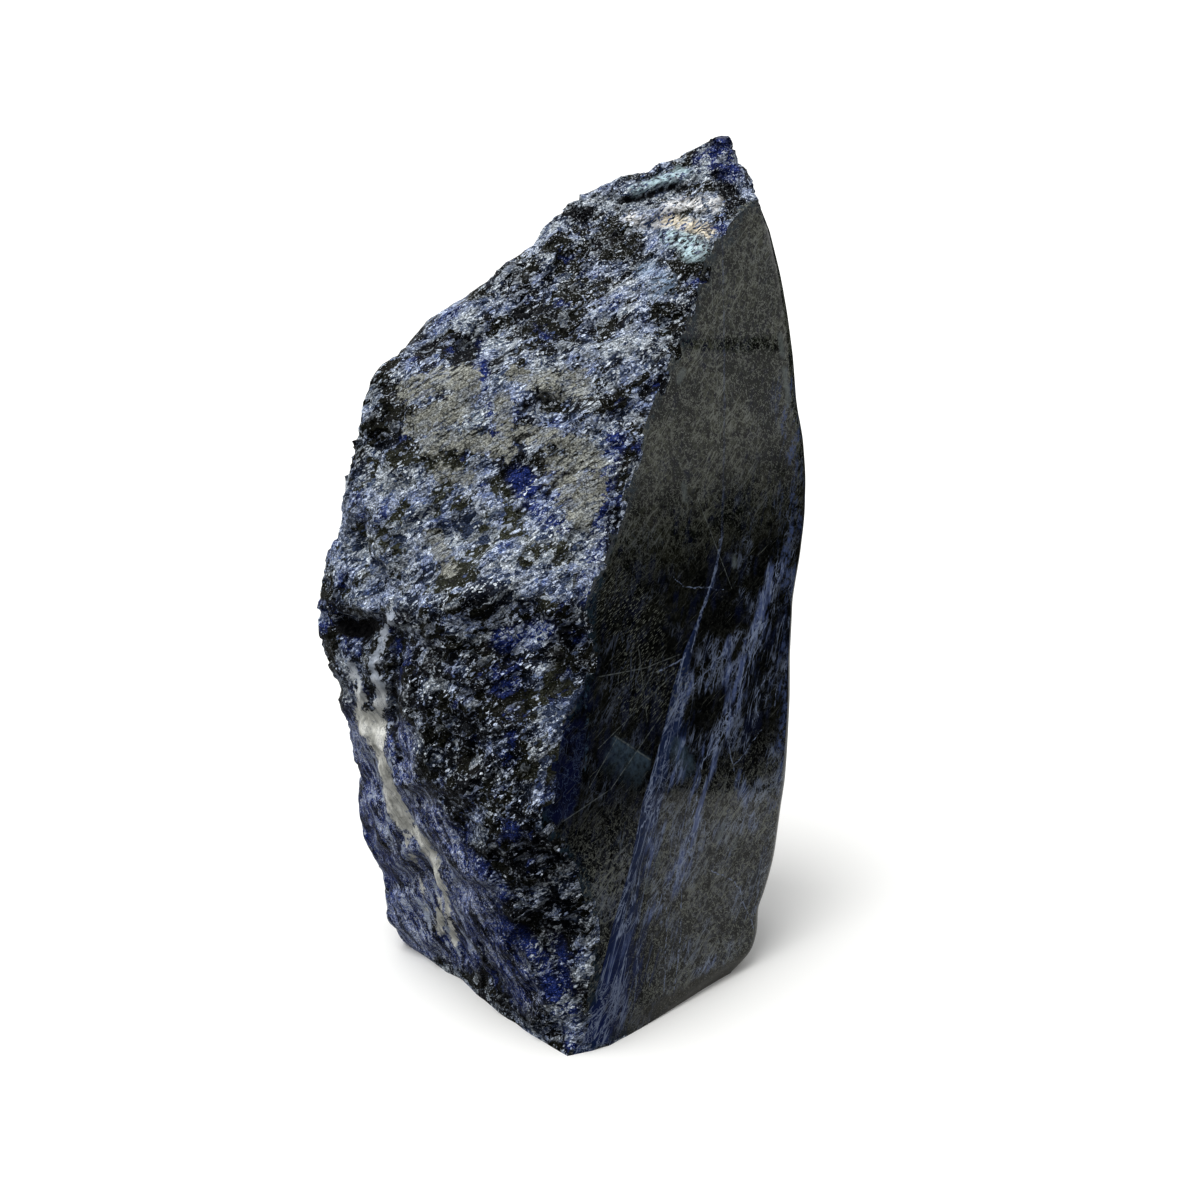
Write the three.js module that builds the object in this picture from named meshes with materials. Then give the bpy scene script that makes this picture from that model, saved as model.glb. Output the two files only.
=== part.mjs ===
// Rough sodalite specimen: one lump of rock, a little taller than a hand is long.
// It stands on a sawn base. One side is ground flat and polished, the rest is natural fracture.
// Units are millimetres and +Z is up. The origin is the middle of the base.

import * as THREE from "three";

// ---------------------------------------------------------------- driving dimensions

// The ground face: a plane that starts near the front corner of the base and leans back as it rises.
const FACE_START = new THREE.Vector2(3.9, -43.4);
const FACE_ACROSS = new THREE.Vector2(Math.SQRT1_2, Math.SQRT1_2);
const FACE_OUTWARD = new THREE.Vector2(Math.SQRT1_2, -Math.SQRT1_2);
const LEAN_RATE = 0.24;
const LEAN_START = 100;
const FACE_CROWN = 0.4;
const EDGE_RADIUS = 5;
const EDGE_RADIUS_AT_TOP = 0.4;
const EDGE_RADIUS_GROWTH = 0.6;
const EDGE_TURN = THREE.MathUtils.degToRad(95);

// Its foot: a bevel that widens to the right, and the worn corner on the left.
const BEVEL_HEIGHT = 5;
const BEVEL_SLOPE = 0.4;
const BEVEL_FROM = 15;
const BEVEL_TO = 55;
const WEAR_DEPTH = 5;
const WEAR_HEIGHT = 26;
const WEAR_ACROSS = 11;

// Levels of the solid above the base, close together at the foot and at the tip.
const FOOT_LEVELS = [0, 1.2, 2.8];
const FIRST_BODY_LEVEL = 5;
const LAST_BODY_LEVEL = 173;
const BODY_STEP = 3.35;
const TIP_LEVELS = [
  175.4, 177.3, 179.5, 181.4, 182.7, 183.7, 185.2, 187, 189, 190.8, 192.4, 193.9, 195.1, 195.9,
];
const TIP = new THREE.Vector3(36.8, 44.3, 196.5);

// The arris, where the ground face ends on its left: [height, distance across the face].
const ARRIS = [
  [0, -0.2], [5, 1.2], [10, 2.6], [14, 3.5], [22.5, 4.3], [32, 5], [40, 3.8], [48, 1.4], [54, -2.6],
  [61, -7.6], [68, -6], [75.5, -4], [81, -1.9], [85, 3.7], [88.5, 9.5], [94.5, 12], [105.5, 13.5],
  [111.5, 16.2], [121, 23.8], [132, 31.9], [140.5, 37.7], [149.5, 45], [157.5, 53.1], [167.5, 60.7],
  [177.3, 67.7],
];
// The top of the face, which slopes up to the right under a rough chip: [height, across].
const CHIP_BORDER = [[177.3, 72.5], [179.5, 73.3], [182.7, 80.1], [183.7, 84]];
const [CHIP_FOOT] = ARRIS[ARRIS.length - 1];
const [FACE_TOP] = CHIP_BORDER[CHIP_BORDER.length - 1];
// The widest line of its rounded right edge: [height, across].
const RIGHT_EDGE = [
  [0, 55.5], [3.3, 59.5], [8.5, 61.5], [14.7, 61.8], [19.5, 64.8], [26.5, 67.9], [37.5, 70.6], [45, 72.9],
  [51, 74.1], [65.5, 76.6], [75.5, 77.8], [89.5, 80.7], [98.5, 84.6], [107.5, 87.8], [117, 89.7],
  [126.5, 90.2], [134, 89.3], [145.5, 90], [155, 89.9], [164.5, 89.2], [175, 87.4], [183.7, 84.8],
];

// Corners of the natural sides, each a line from the base to the tip: [height, x, y].
const CHIP_CORNER = [
  [177.3, 35, 23.6], [179.7, 35.7, 26.5], [184.4, 36.1, 31.8], [190, 36.5, 38.1], [193.9, 37, 41.5],
  [195.9, 37, 42.6],
];
const TIP_RIGHT = [
  [183.7, 45.3, 34], [185.7, 43.6, 36.5], [187.5, 42.2, 39], [189.9, 40.7, 41], [191.5, 39.7, 42],
  [193.7, 38.9, 43], [195.9, 38.3, 43.8],
];
const BACK_RIGHT = [
  [0, 41, 29], [20, 45, 35], [50, 49, 44], [85, 51, 52], [120, 50, 54], [150, 46, 54], [175, 44, 53],
  [186, 41, 49], [193, 38.8, 47.5], [195.9, 38.3, 46],
];
const BACK = [
  [0, 9, 42], [30, 7, 48], [80, 5, 56], [120, 12, 58], [150, 22, 57], [175, 32, 54], [188, 36, 49.5],
  [193, 37, 48.5], [195.9, 36.8, 47],
];
const BACK_LEFT = [
  [0, -24, 35], [30, -32, 39], [70, -38, 42], [100, -40, 43], [130, -31, 43], [147, -22, 44],
  [160, -7, 46], [175, 13, 48], [186, 23, 48], [191, 31, 47], [195.9, 35.2, 46],
];
const LEFT = [
  [0, -41.4, 12], [5.4, -43.9, 8], [19.5, -45.6, 8], [36, -50.2, 8], [53.4, -50.3, 6], [64, -52.3, 6],
  [74.5, -54.8, 6], [88, -57.4, 5], [94.2, -57.6, 5], [105.5, -55.5, 5], [115.5, -51.6, 5], [130, -47.9, 6],
  [136.3, -46.7, 8], [143, -45.8, 10], [147.1, -45, 12], [150.6, -41, 15], [154.5, -35.5, 18.5],
  [158.6, -29.3, 21.5], [162.7, -22, 24], [167, -16.5, 26], [171, -12.3, 28], [175, -6.3, 31],
  [179.4, -3.5, 33], [183.6, 3.3, 36], [186, 8, 37.5], [188.3, 12.5, 39], [189.5, 21.5, 41.5],
  [191.9, 28, 42], [193.9, 31.3, 43], [195.9, 34.3, 44],
];
const VEIN_RIDGE = [
  [0, -25.7, -7], [5, -26.5, -7.5], [16.7, -28, -8], [28.8, -30.5, -9.5], [37, -34, -9.5], [49.7, -39.9, -8],
  [60.2, -42.4, -8], [70, -44.7, -8], [83.6, -45.5, -6], [95, -46.5, -4.5], [107.8, -49.5, -1.5],
  [122.1, -47.4, 0], [133.5, -45.6, 2], [142.1, -43.3, 4.5], [149, -37, 9], [158.5, -24, 16.5],
  [166.4, -12, 22.5], [174.7, -1, 28], [182.7, 9, 34.5], [187, 17, 38.5], [191, 29.5, 41], [195.9, 35, 43],
];
const FRONT = [
  [0, -17.5, -19.8], [5, -16, -24], [12.6, -15.5, -27], [26, -16.5, -29], [48, -18.5, -31.5],
  [65.8, -20.5, -32], [85.2, -21.5, -31.5], [96.4, -21, -29.5], [103.6, -20.3, -26.5], [114, -19.3, -20],
  [125.7, -18.3, -12], [137.5, -18, -4.5], [151.5, -14, 4], [156.2, -0.5, 10], [166.1, 9.5, 17],
  [173.8, 18, 23.5], [183.4, 25, 32.5], [188, 29.5, 38], [191.5, 32.5, 40], [195.9, 36, 42.7],
];
const NATURAL_CORNERS = [BACK_RIGHT, BACK, BACK_LEFT, LEFT, VEIN_RIDGE, FRONT];
// Half the height over which a natural corner line is rounded at its listed points.
const CORNER_ROUNDING = 2.5;

// Columns of the solid between one corner line and the next, and how far each stretch bows out.
const CHIP_COLUMNS = 3;
const FACE_COLUMNS = 8;
const EDGE_COLUMNS = 3;
const FACE_SHARE_OF_CHIP = 0.27;
const NATURAL_SIDES = [
  { columns: 7, bow: 1.5 },
  { columns: 9, bow: 3 },
  { columns: 9, bow: 3 },
  { columns: 8, bow: 3 },
  { columns: 5, bow: 1 },
  { columns: 8, bow: 1.5 },
  { columns: 9, bow: 1.5 },
];
const BOW_FULL_FROM = 12;
const BOW_SHARE_AT_BASE = 0.3;
const MOST_BOW_TO_LENGTH = 0.1;

// The natural fracture: flat flakes of three sizes, longer along the rock's grain.
const GRAIN = new THREE.Vector3(0.84, 0.16, 0.5).normalize();
const GRAIN_STRETCH = 1.9;
const FLAKE_JITTER = 0.45;
const FLAKES = [
  { size: 34, step: 0.5, tilt: 0.035 },
  { size: 13, step: 0.8, tilt: 0.09 },
  { size: 6.5, step: 0.35, tilt: 0.09 },
];
// Single features of the natural sides, each along a route of points: how wide it reaches to either
// side, and how far it lifts the surface, or sinks it where that is below zero.
const FEATURES = {
  creamVein: {
    route: [[-44, -9, 86], [-45, -6, 78], [-45.5, -5, 68], [-42.5, -7, 59.7], [-40, -7, 48.8],
      [-37.5, -8, 41], [-33, -11, 37], [-29.5, -13.5, 31], [-28, -10, 18]],
    reach: 5,
    lift: 1.5,
  },
  creviceByVein: {
    route: [[-38.5, -15, 93.4], [-38.5, -17, 84], [-39, -14.5, 73], [-36.5, -18, 63]],
    reach: 4.5,
    lift: -2.4,
  },
  hollowAboveVein: { route: [[-51, -2, 91.5], [-46, -5.5, 91.5]], reach: 4.5, lift: -2.2 },
  crossRidge: {
    route: [[-52, -2, 95], [-41.8, -10, 98.5], [-29.3, -22, 104.5], [-17.8, -27, 107], [-7, -26.5, 107.5],
      [2, -27, 108.5]],
    reach: 6,
    lift: 1.4,
  },
  hollowUnderRidge: { route: [[-33, -22.5, 95.5], [-20, -29.5, 98.5], [-4, -31, 99]], reach: 6, lift: -1.5 },
  shoulderStep: {
    route: [[-36, 8.5, 148.5], [-18.5, 4.5, 151.5], [-9.5, 7.5, 154], [0, 9.5, 157], [17, 5.5, 156.5]],
    reach: 5,
    lift: 1.3,
  },
  leftPit: { route: [[-41.4, 2, 135.7], [-35.3, -1.5, 138.9]], reach: 5, lift: -1.9 },
  upperPit: { route: [[-29.7, 11.2, 154.4], [-22.9, 12.3, 154.8]], reach: 4.5, lift: -1.8 },
  footHollow: { route: [[-25, -14, 11], [-17.5, -24, 9], [-10, -32, 10.5]], reach: 7, lift: -2.2 },
  frontBreak: { route: [[-27, -22, 43], [-18, -31.5, 47], [-7, -38, 48.5]], reach: 6, lift: 1.2 },
  hollowUnderBreak: { route: [[-24, -22, 36], [-14, -32, 38], [-4, -38, 39]], reach: 6, lift: -1.4 },
  tipLedge: { route: [[16, 34.5, 185.3], [23, 36, 187.4], [29.5, 38.5, 189.2]], reach: 3.5, lift: 1.6 },
  underTipLedge: {
    route: [[8, 29.5, 180], [16, 31, 182.5], [24, 33, 184.6], [31, 35, 186.6]],
    reach: 4,
    lift: -2.2,
  },
};
// Fracture fades out over these distances from the polish, the left edge, the base and the tip.
const FADE_FROM_POLISH = 6;
const CHIP_CLEAR = 3.5;
const FADE_FROM_LEFT = 9;
const LEAST_AT_LEFT = 0.3;
const FADE_FROM_BASE = 5;
const FADE_FROM_TIP = 14;
const LEAST_AT_TIP = 0.4;

// ---------------------------------------------------------------- corner lines

// Values of a line at a height: straight between its listed points, held beyond them.
function along(line, height) {
  const after = line.findIndex(([z]) => z >= height);
  if (after === 0) return line[0].slice(1);
  if (after === -1) return line[line.length - 1].slice(1);
  const [lower, upper] = [line[after - 1], line[after]];
  const share = (height - lower[0]) / (upper[0] - lower[0]);
  return lower.slice(1).map((value, i) => THREE.MathUtils.lerp(value, upper[i + 1], share));
}

const corner = (line, height) => new THREE.Vector2(...along(line, height));

// A natural corner at a height, with its bends rounded except at the very foot and tip.
function roundedCorner(line, height) {
  const reach = Math.min(CORNER_ROUNDING, height, (TIP.z - height) / 3);
  const [below, here, above] = [-reach, 0, reach].map((shift) => corner(line, height + shift));
  return below.add(here).add(above).divideScalar(3);
}

// How far the ground face has leaned back at a height: slow at first, then steady.
const leanAt = (height) => LEAN_RATE * (Math.hypot(height, LEAN_START) - LEAN_START);

// The bevel along the foot of the ground face, and the worn corner at its left end.
function footInset(across, height) {
  const bevelHeight = BEVEL_HEIGHT * THREE.MathUtils.smoothstep(across, BEVEL_FROM, BEVEL_TO);
  const bevel = BEVEL_SLOPE * Math.max(0, bevelHeight - height);
  const towardsCorner = 1 - THREE.MathUtils.smoothstep(across, -WEAR_ACROSS / 2, WEAR_ACROSS);
  const towardsBase = 1 - THREE.MathUtils.smoothstep(height, 0, WEAR_HEIGHT);
  return bevel + WEAR_DEPTH * towardsCorner * towardsBase;
}

// A point of the ground face, or one that lies a little behind it.
function onFace(across, height, inset = 0) {
  const back = leanAt(height) + footInset(across, height) + inset;
  return FACE_START.clone().addScaledVector(FACE_ACROSS, across).addScaledVector(FACE_OUTWARD, -back);
}

// ---------------------------------------------------------------- one level of the solid

// The stretch from one point towards the next, without its end, bowed out to the right of travel.
function stretch(from, to, columns, bow) {
  const outward = new THREE.Vector2(to.y - from.y, from.x - to.x).normalize();
  const fullBow = Math.min(bow, from.distanceTo(to) * MOST_BOW_TO_LENGTH);
  return Array.from({ length: columns }, (_, i) => {
    const share = i / columns;
    return from.clone().lerp(to, share).addScaledVector(outward, fullBow * 4 * share * (1 - share));
  });
}

// A stretch of the ground face between two distances across it, slightly crowned.
function faceStretch(from, to, height, columns) {
  return Array.from({ length: columns }, (_, i) => {
    const share = i / columns;
    return onFace(THREE.MathUtils.lerp(from, to, share), height, -FACE_CROWN * 4 * share * (1 - share));
  });
}

// The rounded right edge, turning from the face's own direction into the unworked side.
// Its widest point, seen square on, lies at the given distance across.
function edgeArc(widest, height, radius) {
  const sharpEnd = widest + radius * (2 - Math.SQRT2);
  const centre = onFace(sharpEnd - radius, height, radius);
  return Array.from({ length: EDGE_COLUMNS + 1 }, (_, i) => {
    const turn = (EDGE_TURN * i) / EDGE_COLUMNS;
    return centre
      .clone()
      .addScaledVector(FACE_ACROSS, radius * Math.sin(turn))
      .addScaledVector(FACE_OUTWARD, radius * Math.cos(turn));
  });
}

// The worked part of a level: the arris, the polished strip and the rounded edge.
function workedPoints(height) {
  if (height >= FACE_TOP) {
    const columns = CHIP_COLUMNS + FACE_COLUMNS + EDGE_COLUMNS;
    const end = corner(TIP_RIGHT, height);
    return [...stretch(corner(CHIP_CORNER, height), end, columns, 0.5), end];
  }
  const [widest] = along(RIGHT_EDGE, height);
  const radius = Math.min(EDGE_RADIUS, EDGE_RADIUS_AT_TOP + (FACE_TOP - height) * EDGE_RADIUS_GROWTH);
  const flatEnd = widest + radius * (1 - Math.SQRT2);
  const edge = edgeArc(widest, height, radius);
  if (height > CHIP_FOOT) {
    const [border] = along(CHIP_BORDER, height);
    const chip = stretch(corner(CHIP_CORNER, height), onFace(border, height), CHIP_COLUMNS, 0);
    return [...chip, ...faceStretch(border, flatEnd, height, FACE_COLUMNS), ...edge];
  }
  const [start] = along(ARRIS, height);
  const middle = THREE.MathUtils.lerp(start, flatEnd, FACE_SHARE_OF_CHIP);
  const left = faceStretch(start, middle, height, CHIP_COLUMNS);
  return [...left, ...faceStretch(middle, flatEnd, height, FACE_COLUMNS), ...edge];
}

// The closed outline of the stone at one height, counter-clockwise from the arris.
// Each point carries how far it lies clear of the polish, which keeps the fracture off that.
function outlineAt(height) {
  const worked = workedPoints(height);
  const [arris, edgeEnd] = [worked[0], worked.pop()];
  const stops = [edgeEnd, ...NATURAL_CORNERS.map((line) => roundedCorner(line, height)), arris];
  const offBase = THREE.MathUtils.smoothstep(height, 0, BOW_FULL_FROM);
  const bowShare = THREE.MathUtils.lerp(BOW_SHARE_AT_BASE, 1, offBase);
  const natural = NATURAL_SIDES.flatMap(({ columns, bow }, i) =>
    stretch(stops[i], stops[i + 1], columns, bow * bowShare),
  );
  const isChip = (column) => height >= FACE_TOP || (height > CHIP_FOOT && column < CHIP_COLUMNS);
  return [
    ...worked.map(({ x, y }, column) => ({
      place: new THREE.Vector3(x, y, height),
      clear: isChip(column) ? CHIP_CLEAR : 0,
    })),
    ...natural.map((point) => ({
      place: new THREE.Vector3(point.x, point.y, height),
      clear: Math.min(point.distanceTo(arris), point.distanceTo(edgeEnd)),
    })),
  ];
}

// ---------------------------------------------------------------- natural fracture

// A repeatable number from -1 to 1 for one grid cell and one purpose.
function chance(cell, purpose) {
  const wave = Math.sin(cell.x * 127.1 + cell.y * 311.7 + cell.z * 74.7 + purpose * 53.3) * 43758.5453;
  return 2 * (wave - Math.floor(wave)) - 1;
}

const GRAIN_ACROSS = new THREE.Vector3(0, 0, 1).cross(GRAIN).normalize();
const GRAIN_UP = GRAIN.clone().cross(GRAIN_ACROSS);

// A place in the rock's grain, shortened along it so that round cells come out long.
function inGrain(place) {
  return new THREE.Vector3(place.dot(GRAIN) / GRAIN_STRETCH, place.dot(GRAIN_ACROSS), place.dot(GRAIN_UP));
}

// How far the flake at a place stands out: its own step, and its slope away from its middle.
function flakeHeight(place, { size, step, tilt }) {
  const local = inGrain(place).divideScalar(size);
  const home = local.clone().floor();
  let nearest = { gap: Infinity };
  for (let i = 0; i < 27; i += 1) {
    const cell = new THREE.Vector3((i % 3) - 1, (Math.floor(i / 3) % 3) - 1, Math.floor(i / 9) - 1).add(home);
    const middle = new THREE.Vector3(chance(cell, 1), chance(cell, 2), chance(cell, 3));
    middle.multiplyScalar(FLAKE_JITTER).addScalar(0.5).add(cell);
    const gap = middle.distanceTo(local);
    if (gap < nearest.gap) nearest = { gap, cell, away: local.clone().sub(middle) };
  }
  const { cell, away } = nearest;
  const slope = new THREE.Vector3(chance(cell, 5), chance(cell, 6), chance(cell, 7));
  return step * chance(cell, 4) + 2 * tilt * size * slope.dot(away);
}

// How far the single features lift a place.
function featureHeight(place) {
  let height = 0;
  for (const { route, reach, lift } of Object.values(FEATURES)) {
    let gap = Infinity;
    for (let i = 0; i + 1 < route.length; i += 1) {
      const part = new THREE.Line3(new THREE.Vector3(...route[i]), new THREE.Vector3(...route[i + 1]));
      gap = Math.min(gap, part.closestPointToPoint(place, true, new THREE.Vector3()).distanceTo(place));
    }
    height += lift * Math.max(0, 1 - (gap / reach) ** 2) ** 2;
  }
  return height;
}

// How much flaking a point takes: less at the left edge, the foot and the tip.
function flakingShare(place) {
  const leftEdge = roundedCorner(LEFT, place.z);
  const fromLeft = Math.hypot(place.x - leftEdge.x, place.y - leftEdge.y);
  const offLeft = THREE.MathUtils.smoothstep(fromLeft, 0, FADE_FROM_LEFT);
  const offBase = THREE.MathUtils.smoothstep(place.z, -FADE_FROM_BASE / 2, FADE_FROM_BASE);
  const offTip = THREE.MathUtils.smoothstep(TIP.z - place.z, 0, FADE_FROM_TIP);
  const atLeft = THREE.MathUtils.lerp(LEAST_AT_LEFT, 1, offLeft);
  return offBase * atLeft * THREE.MathUtils.lerp(LEAST_AT_TIP, 1, offTip);
}

// Outward direction at a point of the levels, from its neighbours around and above.
function outwardAt(rings, row, column) {
  const ring = rings[row];
  const around = ring[(column + 1) % ring.length].place.clone();
  around.sub(ring[(column + ring.length - 1) % ring.length].place);
  const above = rings[Math.min(row + 1, rings.length - 1)][column].place.clone();
  above.sub(rings[Math.max(row - 1, 0)][column].place);
  const outward = around.cross(above);
  if (ring[column].place.z < FIRST_BODY_LEVEL) outward.z = 0;
  return outward.normalize();
}

function fractured(rings) {
  return rings.map((ring, row) =>
    ring.map((point, column) => {
      const flaking = FLAKES.reduce((sum, kind) => sum + flakeHeight(point.place, kind), 0);
      const height = flaking * flakingShare(point.place) + featureHeight(point.place);
      const offPolish = THREE.MathUtils.smoothstep(point.clear, 0, FADE_FROM_POLISH);
      return point.place.clone().addScaledVector(outwardAt(rings, row, column), height * offPolish);
    }),
  );
}

// ---------------------------------------------------------------- the solid

function levels() {
  const body = [];
  for (let z = FIRST_BODY_LEVEL; z <= LAST_BODY_LEVEL; z += BODY_STEP) body.push(z);
  return [...FOOT_LEVELS, ...body, ...TIP_LEVELS];
}

// Skins the levels into one closed body: side faces, a flat base and a fan of faces at the tip.
function skin(rings) {
  const width = rings[0].length;
  const points = [...rings.flat(), TIP];
  const faces = [];
  for (let row = 0; row + 1 < rings.length; row += 1) {
    for (let column = 0; column < width; column += 1) {
      const a = row * width + column;
      const b = row * width + ((column + 1) % width);
      const [c, d] = [b + width, a + width];
      if (points[a].distanceTo(points[c]) < points[b].distanceTo(points[d])) faces.push(a, b, c, a, c, d);
      else faces.push(a, b, d, b, c, d);
    }
  }
  const base = THREE.ShapeUtils.triangulateShape(rings[0].map(({ x, y }) => new THREE.Vector2(x, y)), []);
  base.forEach(([a, b, c]) => faces.push(a, c, b));
  const top = (rings.length - 1) * width;
  for (let column = 0; column < width; column += 1) {
    faces.push(top + column, top + ((column + 1) % width), points.length - 1);
  }
  const geometry = new THREE.BufferGeometry().setFromPoints(points);
  geometry.setIndex(faces);
  return geometry;
}

// Moves a geometry so that the middle of its box stands over the origin.
function centred(geometry) {
  geometry.computeBoundingBox();
  const middle = geometry.boundingBox.getCenter(new THREE.Vector3());
  return geometry.translate(-middle.x, -middle.y, 0);
}

const rock = new THREE.MeshStandardMaterial({ color: 0x1f2740, roughness: 0.45, metalness: 0 });
const stone = new THREE.Mesh(centred(skin(fractured(levels().map(outlineAt)))), rock);
stone.name = "stone";

const specimen = new THREE.Group();
specimen.add(stone);
export default specimen;
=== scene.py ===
"""Looks of a rough sodalite: broken on most sides, ground and polished on one, sawn flat below."""
import math
from functools import partial, reduce

import bpy
import numpy as np
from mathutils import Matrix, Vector


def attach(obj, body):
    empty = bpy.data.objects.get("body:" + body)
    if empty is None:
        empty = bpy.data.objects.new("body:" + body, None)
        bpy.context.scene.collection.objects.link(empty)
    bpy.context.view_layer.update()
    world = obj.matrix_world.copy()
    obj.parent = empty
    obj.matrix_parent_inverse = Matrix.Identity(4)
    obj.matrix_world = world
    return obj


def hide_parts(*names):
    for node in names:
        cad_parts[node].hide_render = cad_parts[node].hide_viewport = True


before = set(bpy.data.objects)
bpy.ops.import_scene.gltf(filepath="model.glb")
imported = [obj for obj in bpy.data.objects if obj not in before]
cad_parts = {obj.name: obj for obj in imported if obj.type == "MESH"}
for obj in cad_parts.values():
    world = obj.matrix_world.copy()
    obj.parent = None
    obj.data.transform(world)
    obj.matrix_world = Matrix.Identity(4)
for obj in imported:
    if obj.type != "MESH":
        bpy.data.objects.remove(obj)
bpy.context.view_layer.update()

MM = 0.001

# ---------------------------------------------------------------- the ground face, in millimetres

# It starts at this corner of the base, runs this way in plan and leans back as it rises.
FACE_START = np.array([2.95, -50.93])
FACE_ACROSS = np.array([1.0, 1.0]) / math.sqrt(2)
FACE_OUTWARD = np.array([1.0, -1.0]) / math.sqrt(2)
LEAN_RATE = 0.24
LEAN_START = 100.0
FACE_TOP = 183.7
EDGE_RADIUS = 5.0
EDGE_RADIUS_AT_TOP = 0.4
EDGE_RADIUS_GROWTH = 0.6
EDGE_TURN = math.radians(95)
# Right of this line the face is next to its rounded edge, and left of it next to the sharp arris.
MIDLINE_AT_BASE = 25.0
MIDLINE_SLOPE = 0.29
# Its foot: a bevel that widens to the right, and the worn corner on the left.
BEVEL_HEIGHT = 5.0
BEVEL_SLOPE = 0.4
BEVEL_FROM, BEVEL_TO = 15.0, 55.0
WEAR_DEPTH = 5.0
WEAR_HEIGHT = 26.0
WEAR_ACROSS = 11.0
FLAT_TOLERANCE = 0.25
BASE_TOLERANCE = 0.025

# ---------------------------------------------------------------- relief of the broken sides

RISING_GRAIN = np.array([0.84, 0.16, 0.5])
FALLING_GRAIN = np.array([0.58, 0.05, -0.81])
# How many times longer than wide these run along the grain.
GRAIN_STRETCH = 1.9
CLOUD_STRETCH = 1.45
SPLINTER_STRETCH = 2.3
SPLIT_STEP_STRETCH = 5.0
STREAK_STRETCH = 9.0
FLAKE_JITTER = 0.45
# Large uneven numbers that scatter what the cells of a grid draw.
SCATTER = np.array([127.1, 311.7, 74.7])
SCATTER_BY_PURPOSE = 53.3
SCATTER_HEIGHT = 43758.5453
FINE_FLAKES = [
    {"size": 9.0, "step": 0.36, "tilt": 0.05},
    {"size": 4.4, "step": 0.22, "tilt": 0.09},
    {"size": 2.2, "step": 0.1, "tilt": 0.09},
]
SPLITS = 2
ROUGH_SOFTENING = 3
EDGE_SMOOTHING = 40
FADE_STEPS = 5
FADE_FROM_BASE = 5.0
# Depth counts for less than width where a mark is measured on the broken front.
FRONT = np.array([0.0, -0.927, 0.375])
DEPTH_SHARE = 0.4

# Marks: each is a list of strokes, and a stroke is half its width and the points that it runs through.
# The cracks are cut into the relief, and their shadow is painted near black into the colour.
CRACKS = [
    (0.7, [(-9, -9, 145), (-7, -9, 146), (-4.7, -7.6, 147), (-3.4, -8, 145)]),
    (0.6, [(-4.5, -21, 127), (-3.9, -19.7, 128.8), (-1.3, -18, 131), (2.1, -17.5, 133)]),
    (0.8, [(-39.6, -20.5, 93), (-39.4, -22.8, 84), (-40.2, -19, 72), (-38.6, -24.4, 64.4)]),
    (2.2, [(-51.8, -7.9, 91), (-47, -10.7, 91), (-44, -14, 94)]),
    (0.9, [(12.7, 25.9, 184), (16.9, 25.8, 184.5), (20.4, 26.7, 185.7), (23.4, 27.4, 186.5),
           (27.2, 28.6, 186.4)]),
]
CRACK_DEPTH = 0.9
SPLIT_PATCH_FLATNESS = 0.7
STREAK_FLATNESS = 0.55
# How far inside a mark's outline its relief sets in, and how far inside it is full.
CRACK_BORDER = (-1.0, 0.5)
SPLIT_PATCH_BORDER = (-1.0, 1.0)
STREAK_BORDER = (-4.0, 2.0)
WORN_STEPS = 4
# Two pulls in turn, one in and one out, smooth the rounded edge without shrinking it.
EDGE_PULLS = (0.5, -0.52)
EDGE_SWELL = 0.45
SWELL_BEHIND = (0.5, 3.0)
BESIDE_EDGE_STEPS = 14
BESIDE_EDGE_SOFTENING = 40
SHARP_ANGLE = math.radians(38)
# Shoulders and hollows of the broken outline: how far each stands out, its reach and its middle.
SHOULDERS = [
    (1.2, 7, (-3.9, 23.1, 177.1)),
    (1.0, 5, (-14.6, 19.4, 169.5)),
    (-1.2, 6, (6.9, 27.8, 184.5)),
    (0.9, 5, (13.9, 29.8, 186.9)),
    (-1.4, 7, (26.9, 29.7, 190.2)),
    (-1.2, 5, (40.4, 28.6, 186.7)),
    (-1.2, 7, (-31.9, 10.2, 155.6)),
    (-0.8, 9, (-46.6, 0.2, 140)),
    (-0.8, 9, (-49.7, -4.1, 125.3)),
]
# Small chips broken out along the arris of the ground face.
CHIP_SIZE = 2.6
CHIP_REACH = 2.6
CHIP_DEPTH = 0.5
# Colour marks of the broken sides: the cream vein, patches that split flat with a painted sheen, fresh blue
# pools, navy pools, the paler zones, the darker zones that are partly painted shade, the streaks that fall
# beside the vein, and the glints near the tip, which are painted highlights.
VEIN = [
    (0.9, [(-39.2, -22.4, 100), (-41.8, -19, 94), (-42.2, -20, 91.7), (-44.7, -17, 85.7), (-44.3, -17, 82)]),
    (1.3, [(-44.3, -17, 82), (-42.6, -19.6, 81), (-44.3, -14.6, 71.4)]),
    (1.1, [(-50.5, -10.8, 82.5), (-48.7, -12, 78.2), (-48.3, -13.6, 75), (-49.5, -8, 68.4)]),
    (3.1, [(-48, -11.5, 68), (-45, -14, 68), (-44.5, -16, 66)]),
    (1.9, [(-44.5, -17, 66.7), (-43.6, -17, 61), (-42.3, -17, 56.3), (-41.8, -15.3, 51)]),
    (2.6, [(-41.8, -15.3, 51), (-40.6, -15, 46.7), (-39.5, -15.3, 44.5)]),
    (1.3, [(-40.3, -15.3, 45.5), (-37.9, -16.2, 42.7), (-35.5, -18.2, 42.2), (-33.5, -21.3, 41.8)]),
    (1.5, [(-34.5, -20, 42), (-32.3, -20, 37.6), (-31.2, -24, 35), (-29.9, -24.3, 31.2)]),
    (1.0, [(-29.9, -24.3, 31.2), (-29.2, -23, 27), (-28.3, -20, 20), (-27.6, -14.7, 11.3)]),
    (1.1, [(-32, -22, 37), (-31.5, -21, 29), (-31, -17, 20), (-31.5, -13, 13)]),
    (0.6, [(-38.5, -15, 40), (-36, -14, 29), (-34, -10, 18)]),
]
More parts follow.
